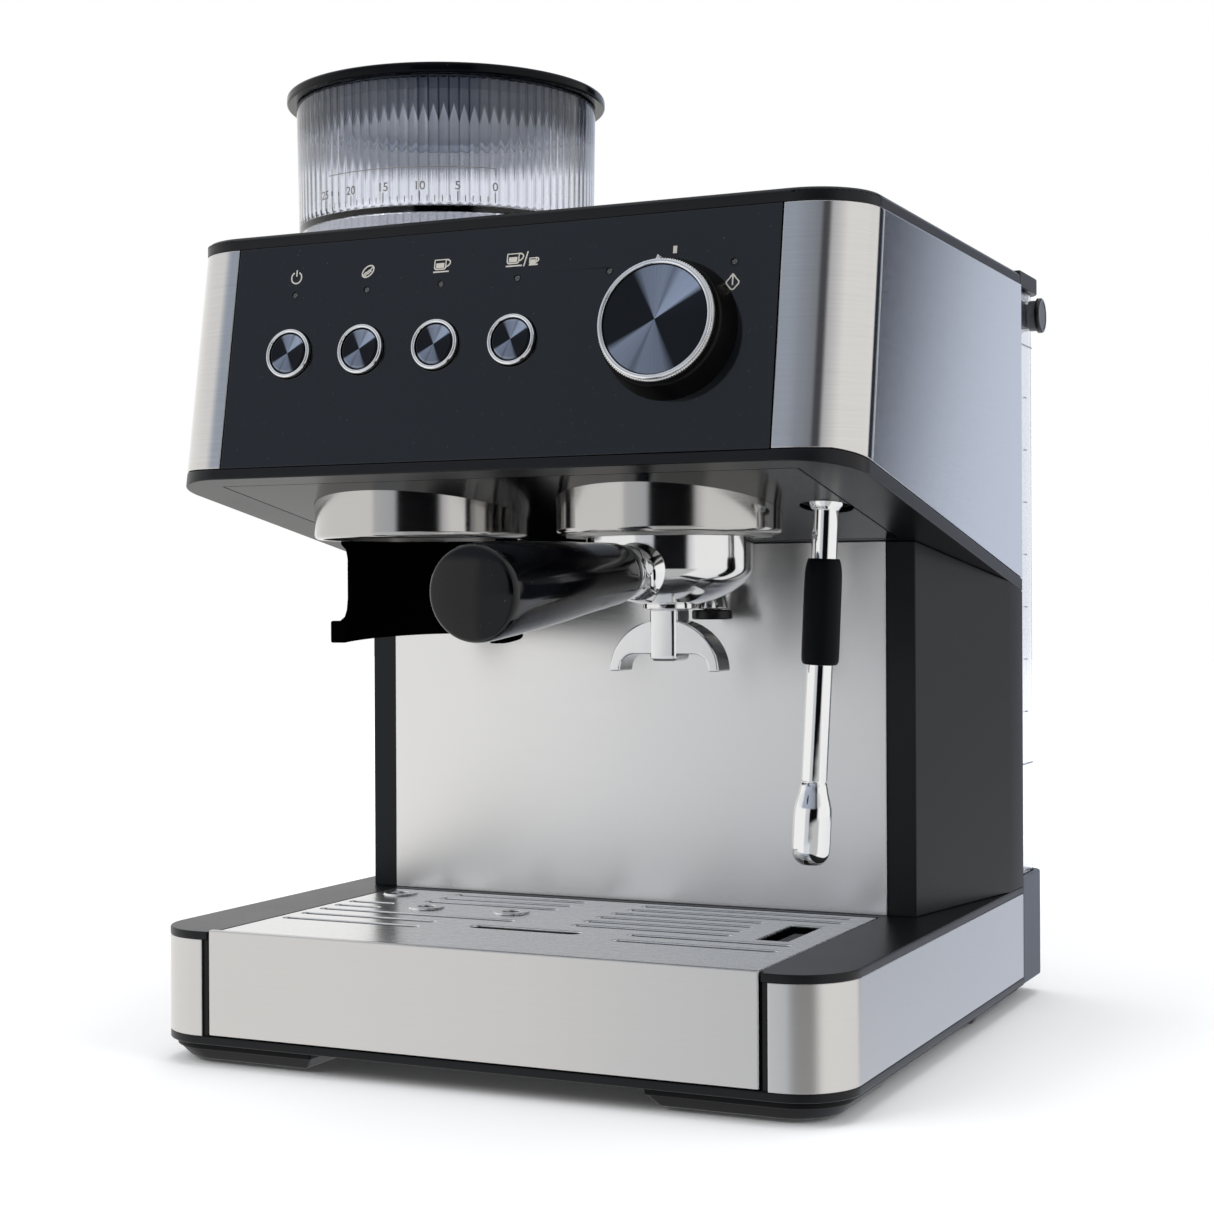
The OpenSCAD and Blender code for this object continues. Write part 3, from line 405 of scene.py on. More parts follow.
def added(name, data):
    """A new object in the scene."""
    piece = bpy.data.objects.new(name, data)
    bpy.context.scene.collection.objects.link(piece)
    return piece


def copied(piece, name):
    """Another of the same shape, with its own mesh."""
    other = added(name, piece.data.copy())
    other.data.name = name
    return other


def settle(piece, material, node, place=None, replaced=(), angle=32):
    """Applies the piece's place in metres, smooths it, and lets it ride where the node does."""
    pick(piece)
    if place is not None:
        piece.matrix_world = place @ Matrix.Scale(MM, 4)
    bpy.ops.object.transform_apply(location=True, rotation=True, scale=True)
    bpy.ops.object.shade_smooth_by_angle(angle=math.radians(angle))
    flats = piece.modifiers.new("flats", "WEIGHTED_NORMAL")
    flats.keep_sharp = True
    bpy.ops.object.modifier_apply(modifier="flats")
    piece.data.materials.clear()
    piece.data.materials.append(material)
    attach(piece, NODES[node]["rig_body"])
    if replaced:
        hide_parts(*replaced)
    return piece


def finished_copy(node, name, material, width):
    """A copy of a carried piece, with its triangles joined and its edges rounded."""
    double_gap, flat_turn, furthest = 0.000002, math.radians(0.6), width * 0.5
    segments, sharp_turn = 3, 32
    piece = copied(NODES[node], name)
    pick(piece)
    open_mesh()
    everything()
    bpy.ops.mesh.remove_doubles(threshold=double_gap)
    bpy.ops.mesh.dissolve_limited(angle_limit=flat_turn)
    close_mesh()
    mesh = piece.data
    skin = BVHTree.FromPolygons([v.co for v in mesh.vertices], [tuple(f.vertices) for f in mesh.polygons])
    round_edges(piece, width, segments, sharp_turn, clamped=False)
    for vertex in mesh.vertices:
        spot, _, _, away = skin.find_nearest(vertex.co)
        if away > furthest:
            vertex.co = spot
    return settle(piece, material, node, replaced=[node], angle=sharp_turn)


def plate(name, outline, low, high, rounding=0.0):
    """A flat piece cut to an outline in mm on XY, from low to high, with its rims rounded."""
    piece = filled(name, [(x, y, low) for x, y in outline])
    bpy.ops.mesh.extrude_region_move(TRANSFORM_OT_translate={"value": (0, 0, high - low)})
    close_up()
    if rounding:
        round_edges(piece, rounding, 4, 50)
    return piece


def line_art(name, strokes, width):
    """Printed lines lying on XY. Each stroke is a list of points in mm, closed when its ends meet."""
    alone()
    data = bpy.data.curves.new(name, "CURVE")
    data.dimensions = "3D"
    data.bevel_depth = width / 2
    data.bevel_resolution = 2
    data.use_fill_caps = True
    for stroke in strokes:
        loop = stroke[0] == stroke[-1]
        points = stroke[:-1] if loop else stroke
        spline = data.splines.new("POLY")
        spline.points.add(len(points) - 1)
        for point, (x, y) in zip(spline.points, points):
            point.co = (x, y, 0, 1)
        spline.use_cyclic_u = loop
    piece = added(name, data)
    pick(piece)
    bpy.ops.object.convert(target="MESH")
    open_mesh()
    everything()
    bpy.ops.transform.resize(value=(1, 1, PRINT_FLATNESS), center_override=ORIGIN)
    close_mesh()
    return piece


# ---- finishes


def brushed_steel(name, tint, contrast, along=(1, 1, 0), rough=0.3, stretch=0.8):
    """Sheet steel brushed along the axes marked in along."""
    finish = Finish(name)
    fine_streaks = [26 if brushed else 3600 for brushed in along]
    coarse_streaks = [7 if brushed else 900 for brushed in along]
    coarse_share, cloud_share, spread = 0.35, 0.05, 0.38
    fine = finish.noise(1, 3, 0.7, finish.moved(scale=fine_streaks))
    coarse = finish.noise(1, 2, 0.6, finish.moved(scale=coarse_streaks))
    cloud = finish.noise(0.09, 1, 0.4)
    streak = (fine - 0.5) * contrast + (coarse - 0.5) * (contrast * coarse_share)
    shade = (streak + (cloud - 0.5) * cloud_share + 0.5).clamp()
    dark = [c * (1 - spread) for c in tint]
    light = [min(1, c * (1 + spread)) for c in tint]
    return finish.surface(
        Base_Color=finish.mix(shade, dark, light),
        Metallic=1.0,
        Roughness=(fine - 0.5) * 0.12 + rough,
        Anisotropic=stretch,
        Anisotropic_Rotation=0.25,
        Normal=finish.grained(0.0006, fine, 0.000007),
    )


def satin_steel(name, tint=(0.55, 0.545, 0.53)):
    """Sheet steel with a fine, even satin grain across the machine."""
    finish = Finish(name)
    fine = finish.noise(1, 2, 0.6, finish.moved(scale=(6, 1500, 1500)))
    return finish.surface(
        Base_Color=finish.shaded(fine, tint, 0.86, 1.12),
        Metallic=1.0,
        Roughness=(fine - 0.5) * 0.12 + 0.27,
        Normal=finish.grained(0.0005, fine, 0.00002),
    )


def polished_metal(name, tint=(0.8, 0.805, 0.81), rough=0.06):
    """Chrome with the faint waves of polished castings."""
    finish = Finish(name)
    wave = finish.noise(0.012, 1, 0.4)
    haze = finish.noise(0.0016, 3, 0.6)
    return finish.surface(
        Base_Color=finish.shaded(haze, tint, 0.96, 1),
        Metallic=1.0,
        Roughness=(haze - 0.5) * 0.03 + rough,
        Normal=finish.grained(0.0005, wave, 0.00004),
    )


def moulded_plastic(name, tint, rough=0.42, texture=0.00002, grain=0.0004, shine=0.5):
    """Moulded plastic with a spark-eroded grain and rounded edges."""
    finish = Finish(name)
    fine = finish.noise(grain, 2, 0.6)
    cloud = finish.noise(0.05, 2, 0.5)
    return finish.surface(
        Base_Color=finish.shaded(cloud, tint, 0.7, 1.3),
        Roughness=(fine - 0.5) * 0.16 + (cloud - 0.5) * 0.06 + rough,
        Specular_IOR_Level=shine,
        Normal=finish.grained(0.0004, fine, texture),
    )


def gloss_panel(name, tint, rough=0.07, shine=0.5):
    """Lacquered black with a faint orange peel and fine dust."""
    finish = Finish(name)
    peel = finish.noise(0.004, 2, 0.5)
    dust = finish.noise(0.0011, 1, 0.5).step(0.74, 0.8)
    return finish.surface(
        Base_Color=finish.mix(dust * 0.4, tint, (0.06, 0.065, 0.07)),
        Roughness=dust * 0.2 + rough,
        Specular_IOR_Level=shine,
        Normal=finish.grained(0.0003, peel, 0.000012),
    )


def spun_metal(name, centre, across):
    """Dark metal turned on a lathe, with fine rings, and painted highlights: fans of light painted into its
    colour round its middle.
    """
    finish = Finish(name)
    flat = finish.moved(centre=tuple(centre), turn=tuple(across.to_euler()))
    right, up = finish.axis(0, flat), finish.axis(1, flat)
    angle = up.math("ARCTAN2", right)
    plane = finish.node("ShaderNodeCombineXYZ", {}, right, up, 0.0)
    radius = finish.node("ShaderNodeVectorMath", {"operation": "LENGTH"}, plane, output=1)
    rings = finish.node("ShaderNodeTexNoise", {"noise_dimensions": "1D"}, W=radius * 9000, Detail=1.0)
    ray = finish.node("ShaderNodeTexNoise", {"noise_dimensions": "1D"}, W=angle * 9, Detail=2.0)
    # Painted highlight: how bright the painted fans are at each angle round the middle, in degrees.
    painted_fan_shares = [
        (0, 0.02), (28, 0.03), (35, 0.95), (60, 0.85), (69, 0.42), (78, 0.62), (108, 0.5), (119, 0.02),
        (206, 0.02), (214, 0.62), (240, 0.5), (247, 0.3), (254, 0.52), (285, 0.42), (297, 0.02), (360, 0.02),
    ]
    stops = [(degrees / 360, (share, share, share)) for degrees, share in painted_fan_shares]
    painted_fans = finish.node("ShaderNodeValToRGB", {"stops": stops}, (angle / math.tau + 1).math("FRACT"))
    painted_fan = finish.axis(0, painted_fans)
    # The painted highlight, streaked along the angle and grained by the rings, blends the colour from near
    # black to a blue-grey painted reflection.
    light = (painted_fan * (ray * 0.5 + 0.75) + (rings - 0.5) * 0.06).clamp()
    return finish.surface(
        Base_Color=finish.mix(light, (0.006, 0.0065, 0.008), (0.42, 0.48, 0.6)),
        Metallic=0.9,
        Roughness=(rings - 0.5) * 0.1 + 0.34,
        Normal=finish.grained(0.0002, rings, 0.00001),
    )


def print_ink(name, tint):
    """Screen-printed ink, slightly speckled."""
    finish = Finish(name)
    speck = finish.noise(0.0005, 2, 0.6)
    return finish.surface(
        Base_Color=finish.shaded(speck, tint, 0.85, 1.1),
        Roughness=(speck - 0.5) * 0.2 + 0.5,
        Normal=finish.bump(speck, 0.00001),
    )


def clear_plastic(name, tint, rough):
    """Clear moulded plastic with faint flow lines."""
    finish = Finish(name)
    flow = finish.noise(0.03, 2, 0.5, finish.moved(scale=(1, 1, 3)))
    return finish.surface(
        Base_Color=finish.shaded(flow, tint, 0.97, 1),
        Roughness=flow * 0.02 + rough,
        IOR=1.46,
        Transmission_Weight=1.0,
        Normal=finish.grained(0.0004, flow, 0.00003),
    )


def fluted_clear(name, foot, tall, flutes):
    """Clear plastic with painted shade: dark points painted along the flutes under the lid, and thin dark
    lines painted on the flutes lower down.
    """
    finish = Finish(name)
    place = finish.moved(centre=tuple(foot))
    east, north, height = (finish.axis(i, place) for i in range(3))
    turn = north.math("ARCTAN2", east)
    phase = (turn * (flutes / math.tau)).math("FRACT")
    tooth = (phase - 0.5).math("ABSOLUTE") * 2
    wander = finish.noise(0.02, 1, 0.5, finish.moved(centre=tuple(foot), scale=(1, 1, 0)))
    # Painted shade: dark points reach down from the rim at each flute, ragged and soft-edged, in mm; the thin
    # painted dark lines fade out 14 to 11 mm above the foot.
    painted_shade_band, point, ragged, soft = 9.5, 8, 4, 0.5
    lines_end, lines_start = tall / MM - 11, tall / MM - 14
    # The clear tint is the plastic's own; the edge tint is painted shade for the thin lines, the dark tint
    # painted shade for the points.
    clear, edge, dark = (0.86, 0.875, 0.92), (0.25, 0.28, 0.34), (0.07, 0.085, 0.115)
    drop = (height * -1 + tall) / MM
    points = 1 - (drop - (tooth * point + painted_shade_band + wander * ragged)).step(-soft, soft)
    line = tooth.step(0.72, 0.98) * (1 - drop.step(lines_start, lines_end))
    lower = finish.mix(line * 0.6, clear, edge)
    colour = finish.mix(points * (line * 0.25 + 0.75), lower, dark)
    return finish.surface(
        Base_Color=colour,
        Roughness=wander * 0.02 + 0.03,
        IOR=1.4,
        Transmission_Weight=1.0,
        Normal=finish.grained(0.0004, wander, 0.00003),
    )


def rubber(name, tint=(0.012, 0.012, 0.013), rough=0.55):
    """Soft moulded rubber with a dusty sheen."""
    finish = Finish(name)
    fine = finish.noise(0.0003, 2, 0.6)
    dust = finish.noise(0.02, 3, 0.6)
    return finish.surface(
        Base_Color=finish.shaded(dust, tint, 1, 1.8),
        Roughness=(fine - 0.5) * 0.2 + rough,
        Sheen_Weight=0.15,
        Normal=finish.grained(0.0004, fine, 0.00003),
    )


def cast_metal(name, tint=(0.42, 0.42, 0.41), rough=0.45):
    """Bare cast or sintered metal, pitted and mottled."""
    finish = Finish(name)
    pits = finish.noise(0.0012, 4, 0.7)
    mottle = finish.noise(0.01, 3, 0.6)
    return finish.surface(
        Base_Color=finish.shaded(mottle, tint, 0.7, 1.15),
        Metallic=0.95,
        Roughness=(pits - 0.5) * 0.3 + rough,
        Normal=finish.grained(0.0004, pits, 0.00012),
    )


# ---- places

LEAN = math.radians(9.5)  # of the control panel, backwards
PANEL_UP = Vector((0, math.sin(LEAN), math.cos(LEAN)))
PANEL_OUT = Vector((0, -math.cos(LEAN), math.sin(LEAN)))
KNOB = PIVOTS["selector_turn"]
GROUP = PIVOTS["portafilter_turn"]
WAND = PIVOTS["wand_forward"]
BURR = PIVOTS["hopper_turn"]
TOP_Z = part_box("top_cover")[1].z


def facing(right, up, out):
    """A turn whose X, Y and Z point these ways."""
    return Matrix((right, up, out)).transposed().to_4x4()


def panel_place(right=0.0, up=0.0):
    """A frame on the panel's face, in mm from the knob's middle: x right, y up the panel, z out."""
    spot = KNOB + Vector((right * MM, 0, 0)) + PANEL_UP * (up * MM)
    return Matrix.Translation(spot) @ facing((1, 0, 0), PANEL_UP, PANEL_OUT)


def tilt(degrees, axis):
    return Matrix.Rotation(math.radians(degrees), 4, axis)


def raised(height):
    """A move up Z by a height in mm."""
    return Matrix.Translation((0, 0, height * MM))


def radius_of(node):
    """Half the width of a CAD node, in mm."""
    low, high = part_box(node)
    return (high.x - low.x) / 2 / MM


def over(node, height):
    """A frame over the middle of a CAD node, at a height in metres."""
    low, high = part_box(node)
    return Matrix.Translation(((low.x + high.x) / 2, (low.y + high.y) / 2, height))


PANEL_TURN = panel_place().to_3x3()
# How far the buttons, the lamps and the marks lie from the knob's middle, in mm
BUTTONS = {
    name: (over(name, 0).translation.x - KNOB.x) / MM
    for name in ("power_button", "grind_button", "single_button", "double_button")
}
LAMP_UP = 25.9
LAMP_RIGHT = (-27.8, 25.2)
MARK_UP = 33.8
OFF_MARK_UP = 32.6
STEAM_MARK = (LAMP_RIGHT[1] - 0.3, 17.3)


# ---- operators for the carried pieces


def wear(node, material):
    """Gives a CAD node one material."""
    mesh = NODES[node].data
    mesh.materials.clear()
    mesh.materials.append(material)


class COFFEE_OT_inner_works(bpy.types.Operator):
    """Finishes of the pieces inside the machine, which stay as they are carried over"""

    bl_idname = "coffee.inner_works"
    bl_label = "Inner Works"

    def execute(self, context):
        cast = cast_metal("cast_alloy")
        inner = moulded_plastic("inner_mould", (0.02, 0.02, 0.022), 0.5)
        satin = satin_steel("inner_steel")
        finishes = {
            cast: ["group_head", "grind_chamber", "boiler"],
            inner: ["grinder_gearbox", "pump", "cord_gland", "wand_swivel", "tray_float"],
            satin: ["shower_screen", "filter_basket"],
            polished_metal("inner_chrome"): ["motor_pinion"],
            rubber("foot_rubber"): ["rubber_feet"],
            rubber("red_gasket", (0.25, 0.05, 0.035)): ["brew_gasket"],
            rubber("silicone_hose", (0.55, 0.55, 0.5), 0.35): ["water_hoses"],
            clear_plastic("lamp_lens", (0.25, 0.27, 0.3), 0.2): ["status_leds"],
            cast_metal("bearing_steel", (0.5, 0.5, 0.52), 0.25): ["burr_bearings"],
            cast_metal("motor_can", (0.16, 0.17, 0.18), 0.35): ["grinder_motor"],
            cast_metal("burr_steel", (0.2, 0.2, 0.21), 0.3): ["cone_burr", "upper_burr"],
            cast_metal("gear_brass", (0.5, 0.34, 0.12), 0.35): ["drive_gear", "steam_valve"],
            moulded_plastic("gear_nylon", (0.6, 0.58, 0.5), 0.4): ["idler_gear", "tank_seat"],
            moulded_plastic("board_green", (0.02, 0.1, 0.045), 0.35): ["control_board"],
        }
        for material, nodes in finishes.items():
            for node in nodes:
                wear(node, material)
        return {"FINISHED"}


class COFFEE_OT_steel_sheets(bpy.types.Operator):
    """Steel sheets with folded edges: sides, corners, splash wall, base wraps and tray front"""

    bl_idname = "coffee.steel_sheets"
    bl_label = "Steel Sheets"

    def execute(self, context):
        values = looks()
        steel, side_tint = tuple(values.steel), tuple(values.side_steel)
        # The side panels' steel carries painted cool light in its tint.
        side = brushed_steel("side_steel", side_tint, 0.05, (0, 1, 0), rough=0.12, stretch=0.9)
        # The splash wall's steel is lighter than the front's steel: painted light.
        wall = brushed_steel("wall_steel_painted_light", (0.78, 0.77, 0.755), 0.05, (1, 0, 0), rough=0.24)
        trim = brushed_steel("trim_steel", steel, 0.24, rough=0.13, stretch=0.9)
        front = brushed_steel("front_steel", steel, 0.1)
        plan = [
            ("side_panels", "side_sheets", side, values.sheet_round),
            ("corner_trims", "corner_sheets", trim, values.sheet_round),
            ("backsplash", "splash_sheet", wall, values.sheet_round),
            ("base_wraps", "wrap_sheets", front, values.sheet_round),
            ("tray_front", "tray_face", front, values.edge_round),
            ("warmer_plate", "warmer_sheet", satin_steel("warmer_steel"), values.sheet_round),
        ]
        for row in plan:
            finished_copy(*row)
        return {"FINISHED"}


class COFFEE_OT_mouldings(bpy.types.Operator):
    """Black and grey mouldings of the base, column, head, tray and tank bay"""

    bl_idname = "coffee.mouldings"
    bl_label = "Mouldings"

    def execute(self, context):
        values = looks()
        tint, lacquer = tuple(values.moulding), tuple(values.lacquer)
        satin = moulded_plastic("satin_black", tint, 0.34, shine=0.22)
        dull = moulded_plastic("dull_black", [c * 0.6 for c in tint], 0.5, shine=0.12)
        column = moulded_plastic(
            "column_black", (0.004, 0.005, 0.0072), texture=0.00003, grain=0.0005, shine=0.26)
        grey = moulded_plastic("bay_grey", (0.075, 0.086, 0.11), 0.5, shine=0.35)
        under = gloss_panel("under_satin", (0.0008, 0.001, 0.0014), 0.14, shine=0.05)
        gloss = gloss_panel("panel_gloss", lacquer)
        rounds = values.edge_round
        plan = [
            ("base_housing", "base_shell", satin, rounds),
            ("head_frame", "head_shell", satin, rounds),
            ("top_cover", "top_shell", satin, rounds),
            ("underside_panel", "under_insert", under, rounds * 0.6),
            ("column_shell", "column_walls", column, rounds),
            ("control_panel", "panel_plate", gloss, rounds * 0.5),
            ("drip_tray", "tray_box", dull, rounds),
            ("rear_base", "bay_shell", grey, rounds),
        ]
        for row in plan:
            finished_copy(*row)
        return {"FINISHED"}


# ---- operators for the front


class COFFEE_OT_base_floor(bpy.types.Operator):
    """Floor of the base, open at the front between its four tapered foot blocks"""

    bl_idname = "coffee.base_floor"
    bl_label = "Base Floor"

    def execute(self, context):
        low, high = (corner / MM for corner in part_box("base_pan"))
        side, front, back = high.x, low.y, high.y
        corner_r, inner, set_back, thick = 22, 75, 16, 3
        block_long, block_buried, taper = 72, 2, 0.87
        dull = moulded_plastic("floor_black", [c * 0.6 for c in looks().moulding], 0.45, shine=0.12)
        outline = [
            *arc((side - corner_r, front + corner_r), corner_r, -90, 0, 10), (side, back), (-side, back),
            *arc((corner_r - side, front + corner_r), corner_r, 180, 270, 10), (-inner, front),
            (-inner, front + set_back), (inner, front + set_back), (inner, front),
        ]
        floor = plate("base_plate", outline, high.z - thick, high.z, 0.8)
        settle(floor, dull, "base_pan", Matrix(), ["base_pan"], 40)
        across = side - inner
        corner = [
            *arc((across - corner_r, corner_r), corner_r, -90, 0, 10), (across, block_long),
            (0, block_long), (0, 0),
        ]
        for index, (right, near) in enumerate([(1, 1), (-1, 1), (1, -1), (-1, -1)]):
            edge = front if near > 0 else back
            spots = [(right * (inner + x), edge + near * y) for x, y in corner]
            block = plate(f"foot_block_{index + 1}", spots, low.z, high.z - block_buried)
            centre = (right * (inner + across / 2), edge + near * (block_long / 2), low.z)
            open_mesh()
            choose(block, lambda spot: spot.z < low.z + 1)
            bpy.ops.transform.resize(value=(taper, taper, 1), center_override=centre)
            close_mesh()
            round_edges(block, 1.2, 4, 35)
            settle(block, dull, "base_pan", Matrix(), angle=40)
        return {"FINISHED"}


class COFFEE_OT_collars(bpy.types.Operator):
    """Steel collars of the grinder and of the brew group, rolled at their lower edge"""

    bl_idname = "coffee.collars"
    bl_label = "Collars"

    def execute(self, context):
        tint = tuple(c * 0.8 for c in looks().steel)
        steel = brushed_steel("collar_steel", tint, 0.05, rough=0.12, stretch=0.2)
        wall, roll = 3.6, 2.2
        for node, name in (("grinder_collar", "grinder_band"), ("group_collar", "group_band")):
            low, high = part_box(node)
            radius, height = radius_of(node), (high.z - low.z) / MM
            outline = [
                (radius - wall, 0.2), (radius - wall + 0.4, 0), *arc((radius - roll, roll), roll, -90, 0, 10),
                (radius, height), (radius - 2, height), (radius - 2, roll + 1), (radius - wall, roll),
            ]
            settle(turned(name, outline, 160, closed=True), steel, node, over(node, low.z), [node], 40)
        return {"FINISHED"}


class COFFEE_OT_cradle(bpy.types.Operator):
    """Cradle under the grinder that holds the portafilter: flared shell and sloping fork"""

    bl_idname = "coffee.cradle"
    bl_label = "Portafilter Cradle"

    def execute(self, context):
        low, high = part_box("grinder_cradle")
        fork_r, shell_r, bore_r = radius_of("grinder_cradle"), 39.0, 36.7
        prong, thick, rise = 6, 10, 0.085
        base, top = low.z / MM, high.z / MM
        place = Matrix.Translation(((low.x + high.x) / 2, low.y + prong * MM, 0))
        back = (high.y - place.translation.y) / MM
        shell = [
            (bore_r, base + 9), (shell_r + 4, base + 9), (shell_r + 4, base + 10),
            (shell_r + 1.6, base + 11.8), (shell_r + 0.5, base + 15), (shell_r, base + 20),
            (shell_r, top - 8), (shell_r + 0.8, top - 4), (shell_r + 3.4, top - 1.4), (shell_r + 3.4, top),
            (bore_r, top),
        ]
        piece = filled("cradle_shell", upright(shell))
        sweep(64, -math.pi)
        close_up()
        dull = moulded_plastic("cradle_black", [c * 0.2 for c in looks().moulding], 0.75, shine=0.0)
        settle(piece, dull, "grinder_cradle", place, ["grinder_cradle"], 35)

        outline = [
            (-fork_r, -prong), (-bore_r, -prong), *arc((0, 0), bore_r, 180, 0, 40), (bore_r, -prong),
            (fork_r, -prong), *arc((0, 0), fork_r, 0, 63, 12), (20, back), (-20, back),
            *arc((0, 0), fork_r, 117, 180, 12),
        ]
        fork = plate("cradle_fork", outline, base, base + thick)
        open_mesh()
        for y in sorted({round(v.co.y, 3) for v in fork.data.vertices}):
            if y > -prong:
                choose(fork, lambda spot: spot.z < base + 1 and abs(spot.y - y) < 2 * MERGE_GAP)
                bpy.ops.transform.translate(value=(0, 0, rise * (y + prong)))
        close_mesh()
        round_edges(fork, 0.9, 3, 40)
        settle(fork, dull, "grinder_cradle", place, angle=40)
        return {"FINISHED"}


class COFFEE_OT_buttons(bpy.types.Operator):
    """Four push buttons with spun caps, and the bright rings round them"""

    bl_idname = "coffee.buttons"
    bl_label = "Buttons"

    def execute(self, context):
        chrome = polished_metal("ring_chrome")
        ring = turned("ring_pattern", [
            (8.95, -2.9), (10.6, -2.9), (10.6, 0.9), *arc((9.75, 1.6), 0.85, 0, 180, 10), (8.9, 1.0),
        ], closed=True)
        cap = turned("cap_pattern", [
            (0, -9.7), (3, -9.7), (3, -1.2), (8.5, -1.2), (8.55, 1.3), (8.35, 1.75), (7.9, 2.1), (7.5, 2.2),
            (7.3, 2.1), (0, 1.95),
        ])
        for node, right in BUTTONS.items():
            place = panel_place(right)
            # The caps' spun metal carries painted highlights.
            spun = spun_metal(node + "_spun", place.translation, PANEL_TURN)
            settle(copied(cap, node.replace("button", "cap")), spun, node, place, [node])
            bezel = copied(ring, node.replace("button", "ring"))
            settle(bezel, chrome, "button_bezels", place, ["button_bezels"], 50)
        bpy.data.objects.remove(ring)
        bpy.data.objects.remove(cap)
        return {"FINISHED"}


class COFFEE_OT_selector(bpy.types.Operator):
    """Selector knob: black skirt, spun face, and a knurled ring with its pointer"""

    bl_idname = "coffee.selector"
    bl_label = "Selector Knob"

    def execute(self, context):
        rim_r, tooth_rise, pointer_tip = 23.95, 1.021, 0.12
        facets = 2 * looks().knurl_count
        place = panel_place()
        skirt = turned("knob_skirt", [
            (0, -17), (4, -17), (4, 0.05), (27.6, 0.05), (28, 0.5), (25.9, 10.7), (25.2, 11.6), (21.9, 11.7),
            (21.9, 14.6), (0, 14.6),
        ], 128)
        black = moulded_plastic("knob_black", (0.0025, 0.0022, 0.0022), 0.3, shine=0.12)
        settle(skirt, black, "selector_knob", place, ["selector_knob"])

        face = turned("knob_face", [
            (0, 14.7), (21.5, 14.7), (21.6, 15.2), (21.4, 15.45), (21.1, 15.5), (0, 15.4)], 128)
        # The face's spun metal carries painted highlights.
        settle(face, spun_metal("knob_spun", KNOB, PANEL_TURN), "selector_knob", place)

        rim = turned("knob_rim", [
            (21.9, 11.75), (rim_r, 11.75), (rim_r, 14.7), (23.75, 14.95), (23.7, 15.8),
            *arc((23.1, 15.85), 0.6, 0, 90, 4), (22.5, 16.45), (22.1, 16.2), (21.9, 15.8),
        ], facets, closed=True)
        pick(rim)
        open_mesh()
        choose(rim, lambda spot: spot.xy.length > rim_r - 0.05 and round(angle_of(spot) * facets / 360) % 2)
        bpy.ops.transform.resize(value=(tooth_rise, tooth_rise, 1), center_override=ORIGIN)
        pointer = begin(
            "knob_pointer", bpy.ops.mesh.primitive_cube_add, size=1, location=(0, 24.3, 13.6),
            scale=(2.6, 2.4, 4.4))
        choose(pointer, lambda spot: spot.y > 0)
        bpy.ops.transform.resize(value=(pointer_tip, 1, 1))
        close_mesh()
        pick(rim, pointer)
        bpy.ops.object.join()
        settle(rim, polished_metal("rim_chrome", rough=0.14), "knob_ring", place, ["knob_ring"], 25)
        return {"FINISHED"}


def cup_strokes(right, up, size):
    """A cup with a handle over its saucer."""
    cup = [
        (-3.6, 4.4), (-3.6, 1.2), (-3.3, 0.6), (-2.8, 0.4), (0.8, 0.4), (1.3, 0.6), (1.6, 1.2), (1.6, 4.4),
        (-3.6, 4.4),
    ]
    handle = [(1.6, 4.3), (2.6, 4.3), (3.5, 3.7), (3.7, 2.9), (3.2, 2.1), (2.4, 1.5), (1.6, 1.3)]
    saucer = [(-4.1, -0.7), (3.2, -0.7)]
    coffee = [[(-2.9, height), (0.9, height)] for height in (1.2, 1.7, 2.2, 2.7)]
    strokes = (cup, handle, saucer, *coffee)
    return [[(right + x * size, up + y * size) for x, y in stroke] for stroke in strokes]


class COFFEE_OT_panel_marks(bpy.types.Operator):
    """Printed marks of the control panel, and the rims of its lamps"""

    bl_idname = "coffee.panel_marks"
    bl_label = "Panel Marks"

    def execute(self, context):
        power, bean, cup, pair = BUTTONS.values()
        turns = [math.tau * i / 24 for i in range(24)]
        oval = [
            (2.42 * math.cos(t) - 1.24 * math.sin(t), 1.92 * math.cos(t) + 1.56 * math.sin(t)) for t in turns]
        drop = [
            (0, 3.4), (2.6, 0.5), (2.5, -0.4), (0.5, -2.6), (-0.5, -2.6), (-2.5, -0.4), (-2.6, 0.5), (0, 3.4)]
        art = [
            ("mark_power", power, MARK_UP, 0.62, [arc((0, -0.3), 2.5, 118, 422, 20), [(0, 0.3), (0, 3.1)]]),
            ("mark_bean", bean, MARK_UP, 0.6, [
                [*oval, oval[0]],
                [(-2.2, -1.8), (-1.2, -0.5), (-0.5, -0.4), (0.4, 0.4), (1.1, 0.5), (2.2, 1.8)],
                [(-1.5, -2.0), (-0.6, -1.1), (0.2, -0.9), (1.0, -0.1), (1.7, 0.0)],
            ]),
            ("mark_cup", cup, MARK_UP, 0.6, cup_strokes(0.2, -2, 1)),
            ("mark_two_cups", pair, MARK_UP, 0.6, [
                *cup_strokes(-1.4, -2, 1), [(2.6, -3.2), (4.2, 3.0)], *cup_strokes(7.2, -2.4, 0.55)]),
            ("mark_off", 0, OFF_MARK_UP, 0.75, [[(x, -1.6), (x, 1.4)] for x in (-0.45, 0, 0.45)]),
            ("mark_steam", *STEAM_MARK, 0.6, [
                drop, [(0, 3.6), (0, -0.9)], [(-1.0, 2.4), (0, 3.6), (1.0, 2.4)]]),
        ]
        ink = print_ink("panel_print", tuple(looks().print_ink))
        for name, right, up, width, strokes in art:
            settle(line_art(name, strokes, width), ink, "control_panel", panel_place(right, up), angle=60)

        rim = turned("lamp_pattern", [
            (1.25, -0.4), (1.75, -0.4), (1.75, 0.02), (1.6, 0.14), (1.4, 0.14), (1.25, 0.02),
        ], 40, closed=True)
        dark = moulded_plastic("lamp_black", (0.001, 0.0011, 0.0014), 0.2, shine=0.3)
        for index, right in enumerate([*BUTTONS.values(), *LAMP_RIGHT]):
            settle(copied(rim, f"lamp_rim_{index + 1}"), dark, "control_panel", panel_place(right, LAMP_UP))
        bpy.data.objects.remove(rim)
        return {"FINISHED"}


# ---- operators for the hopper


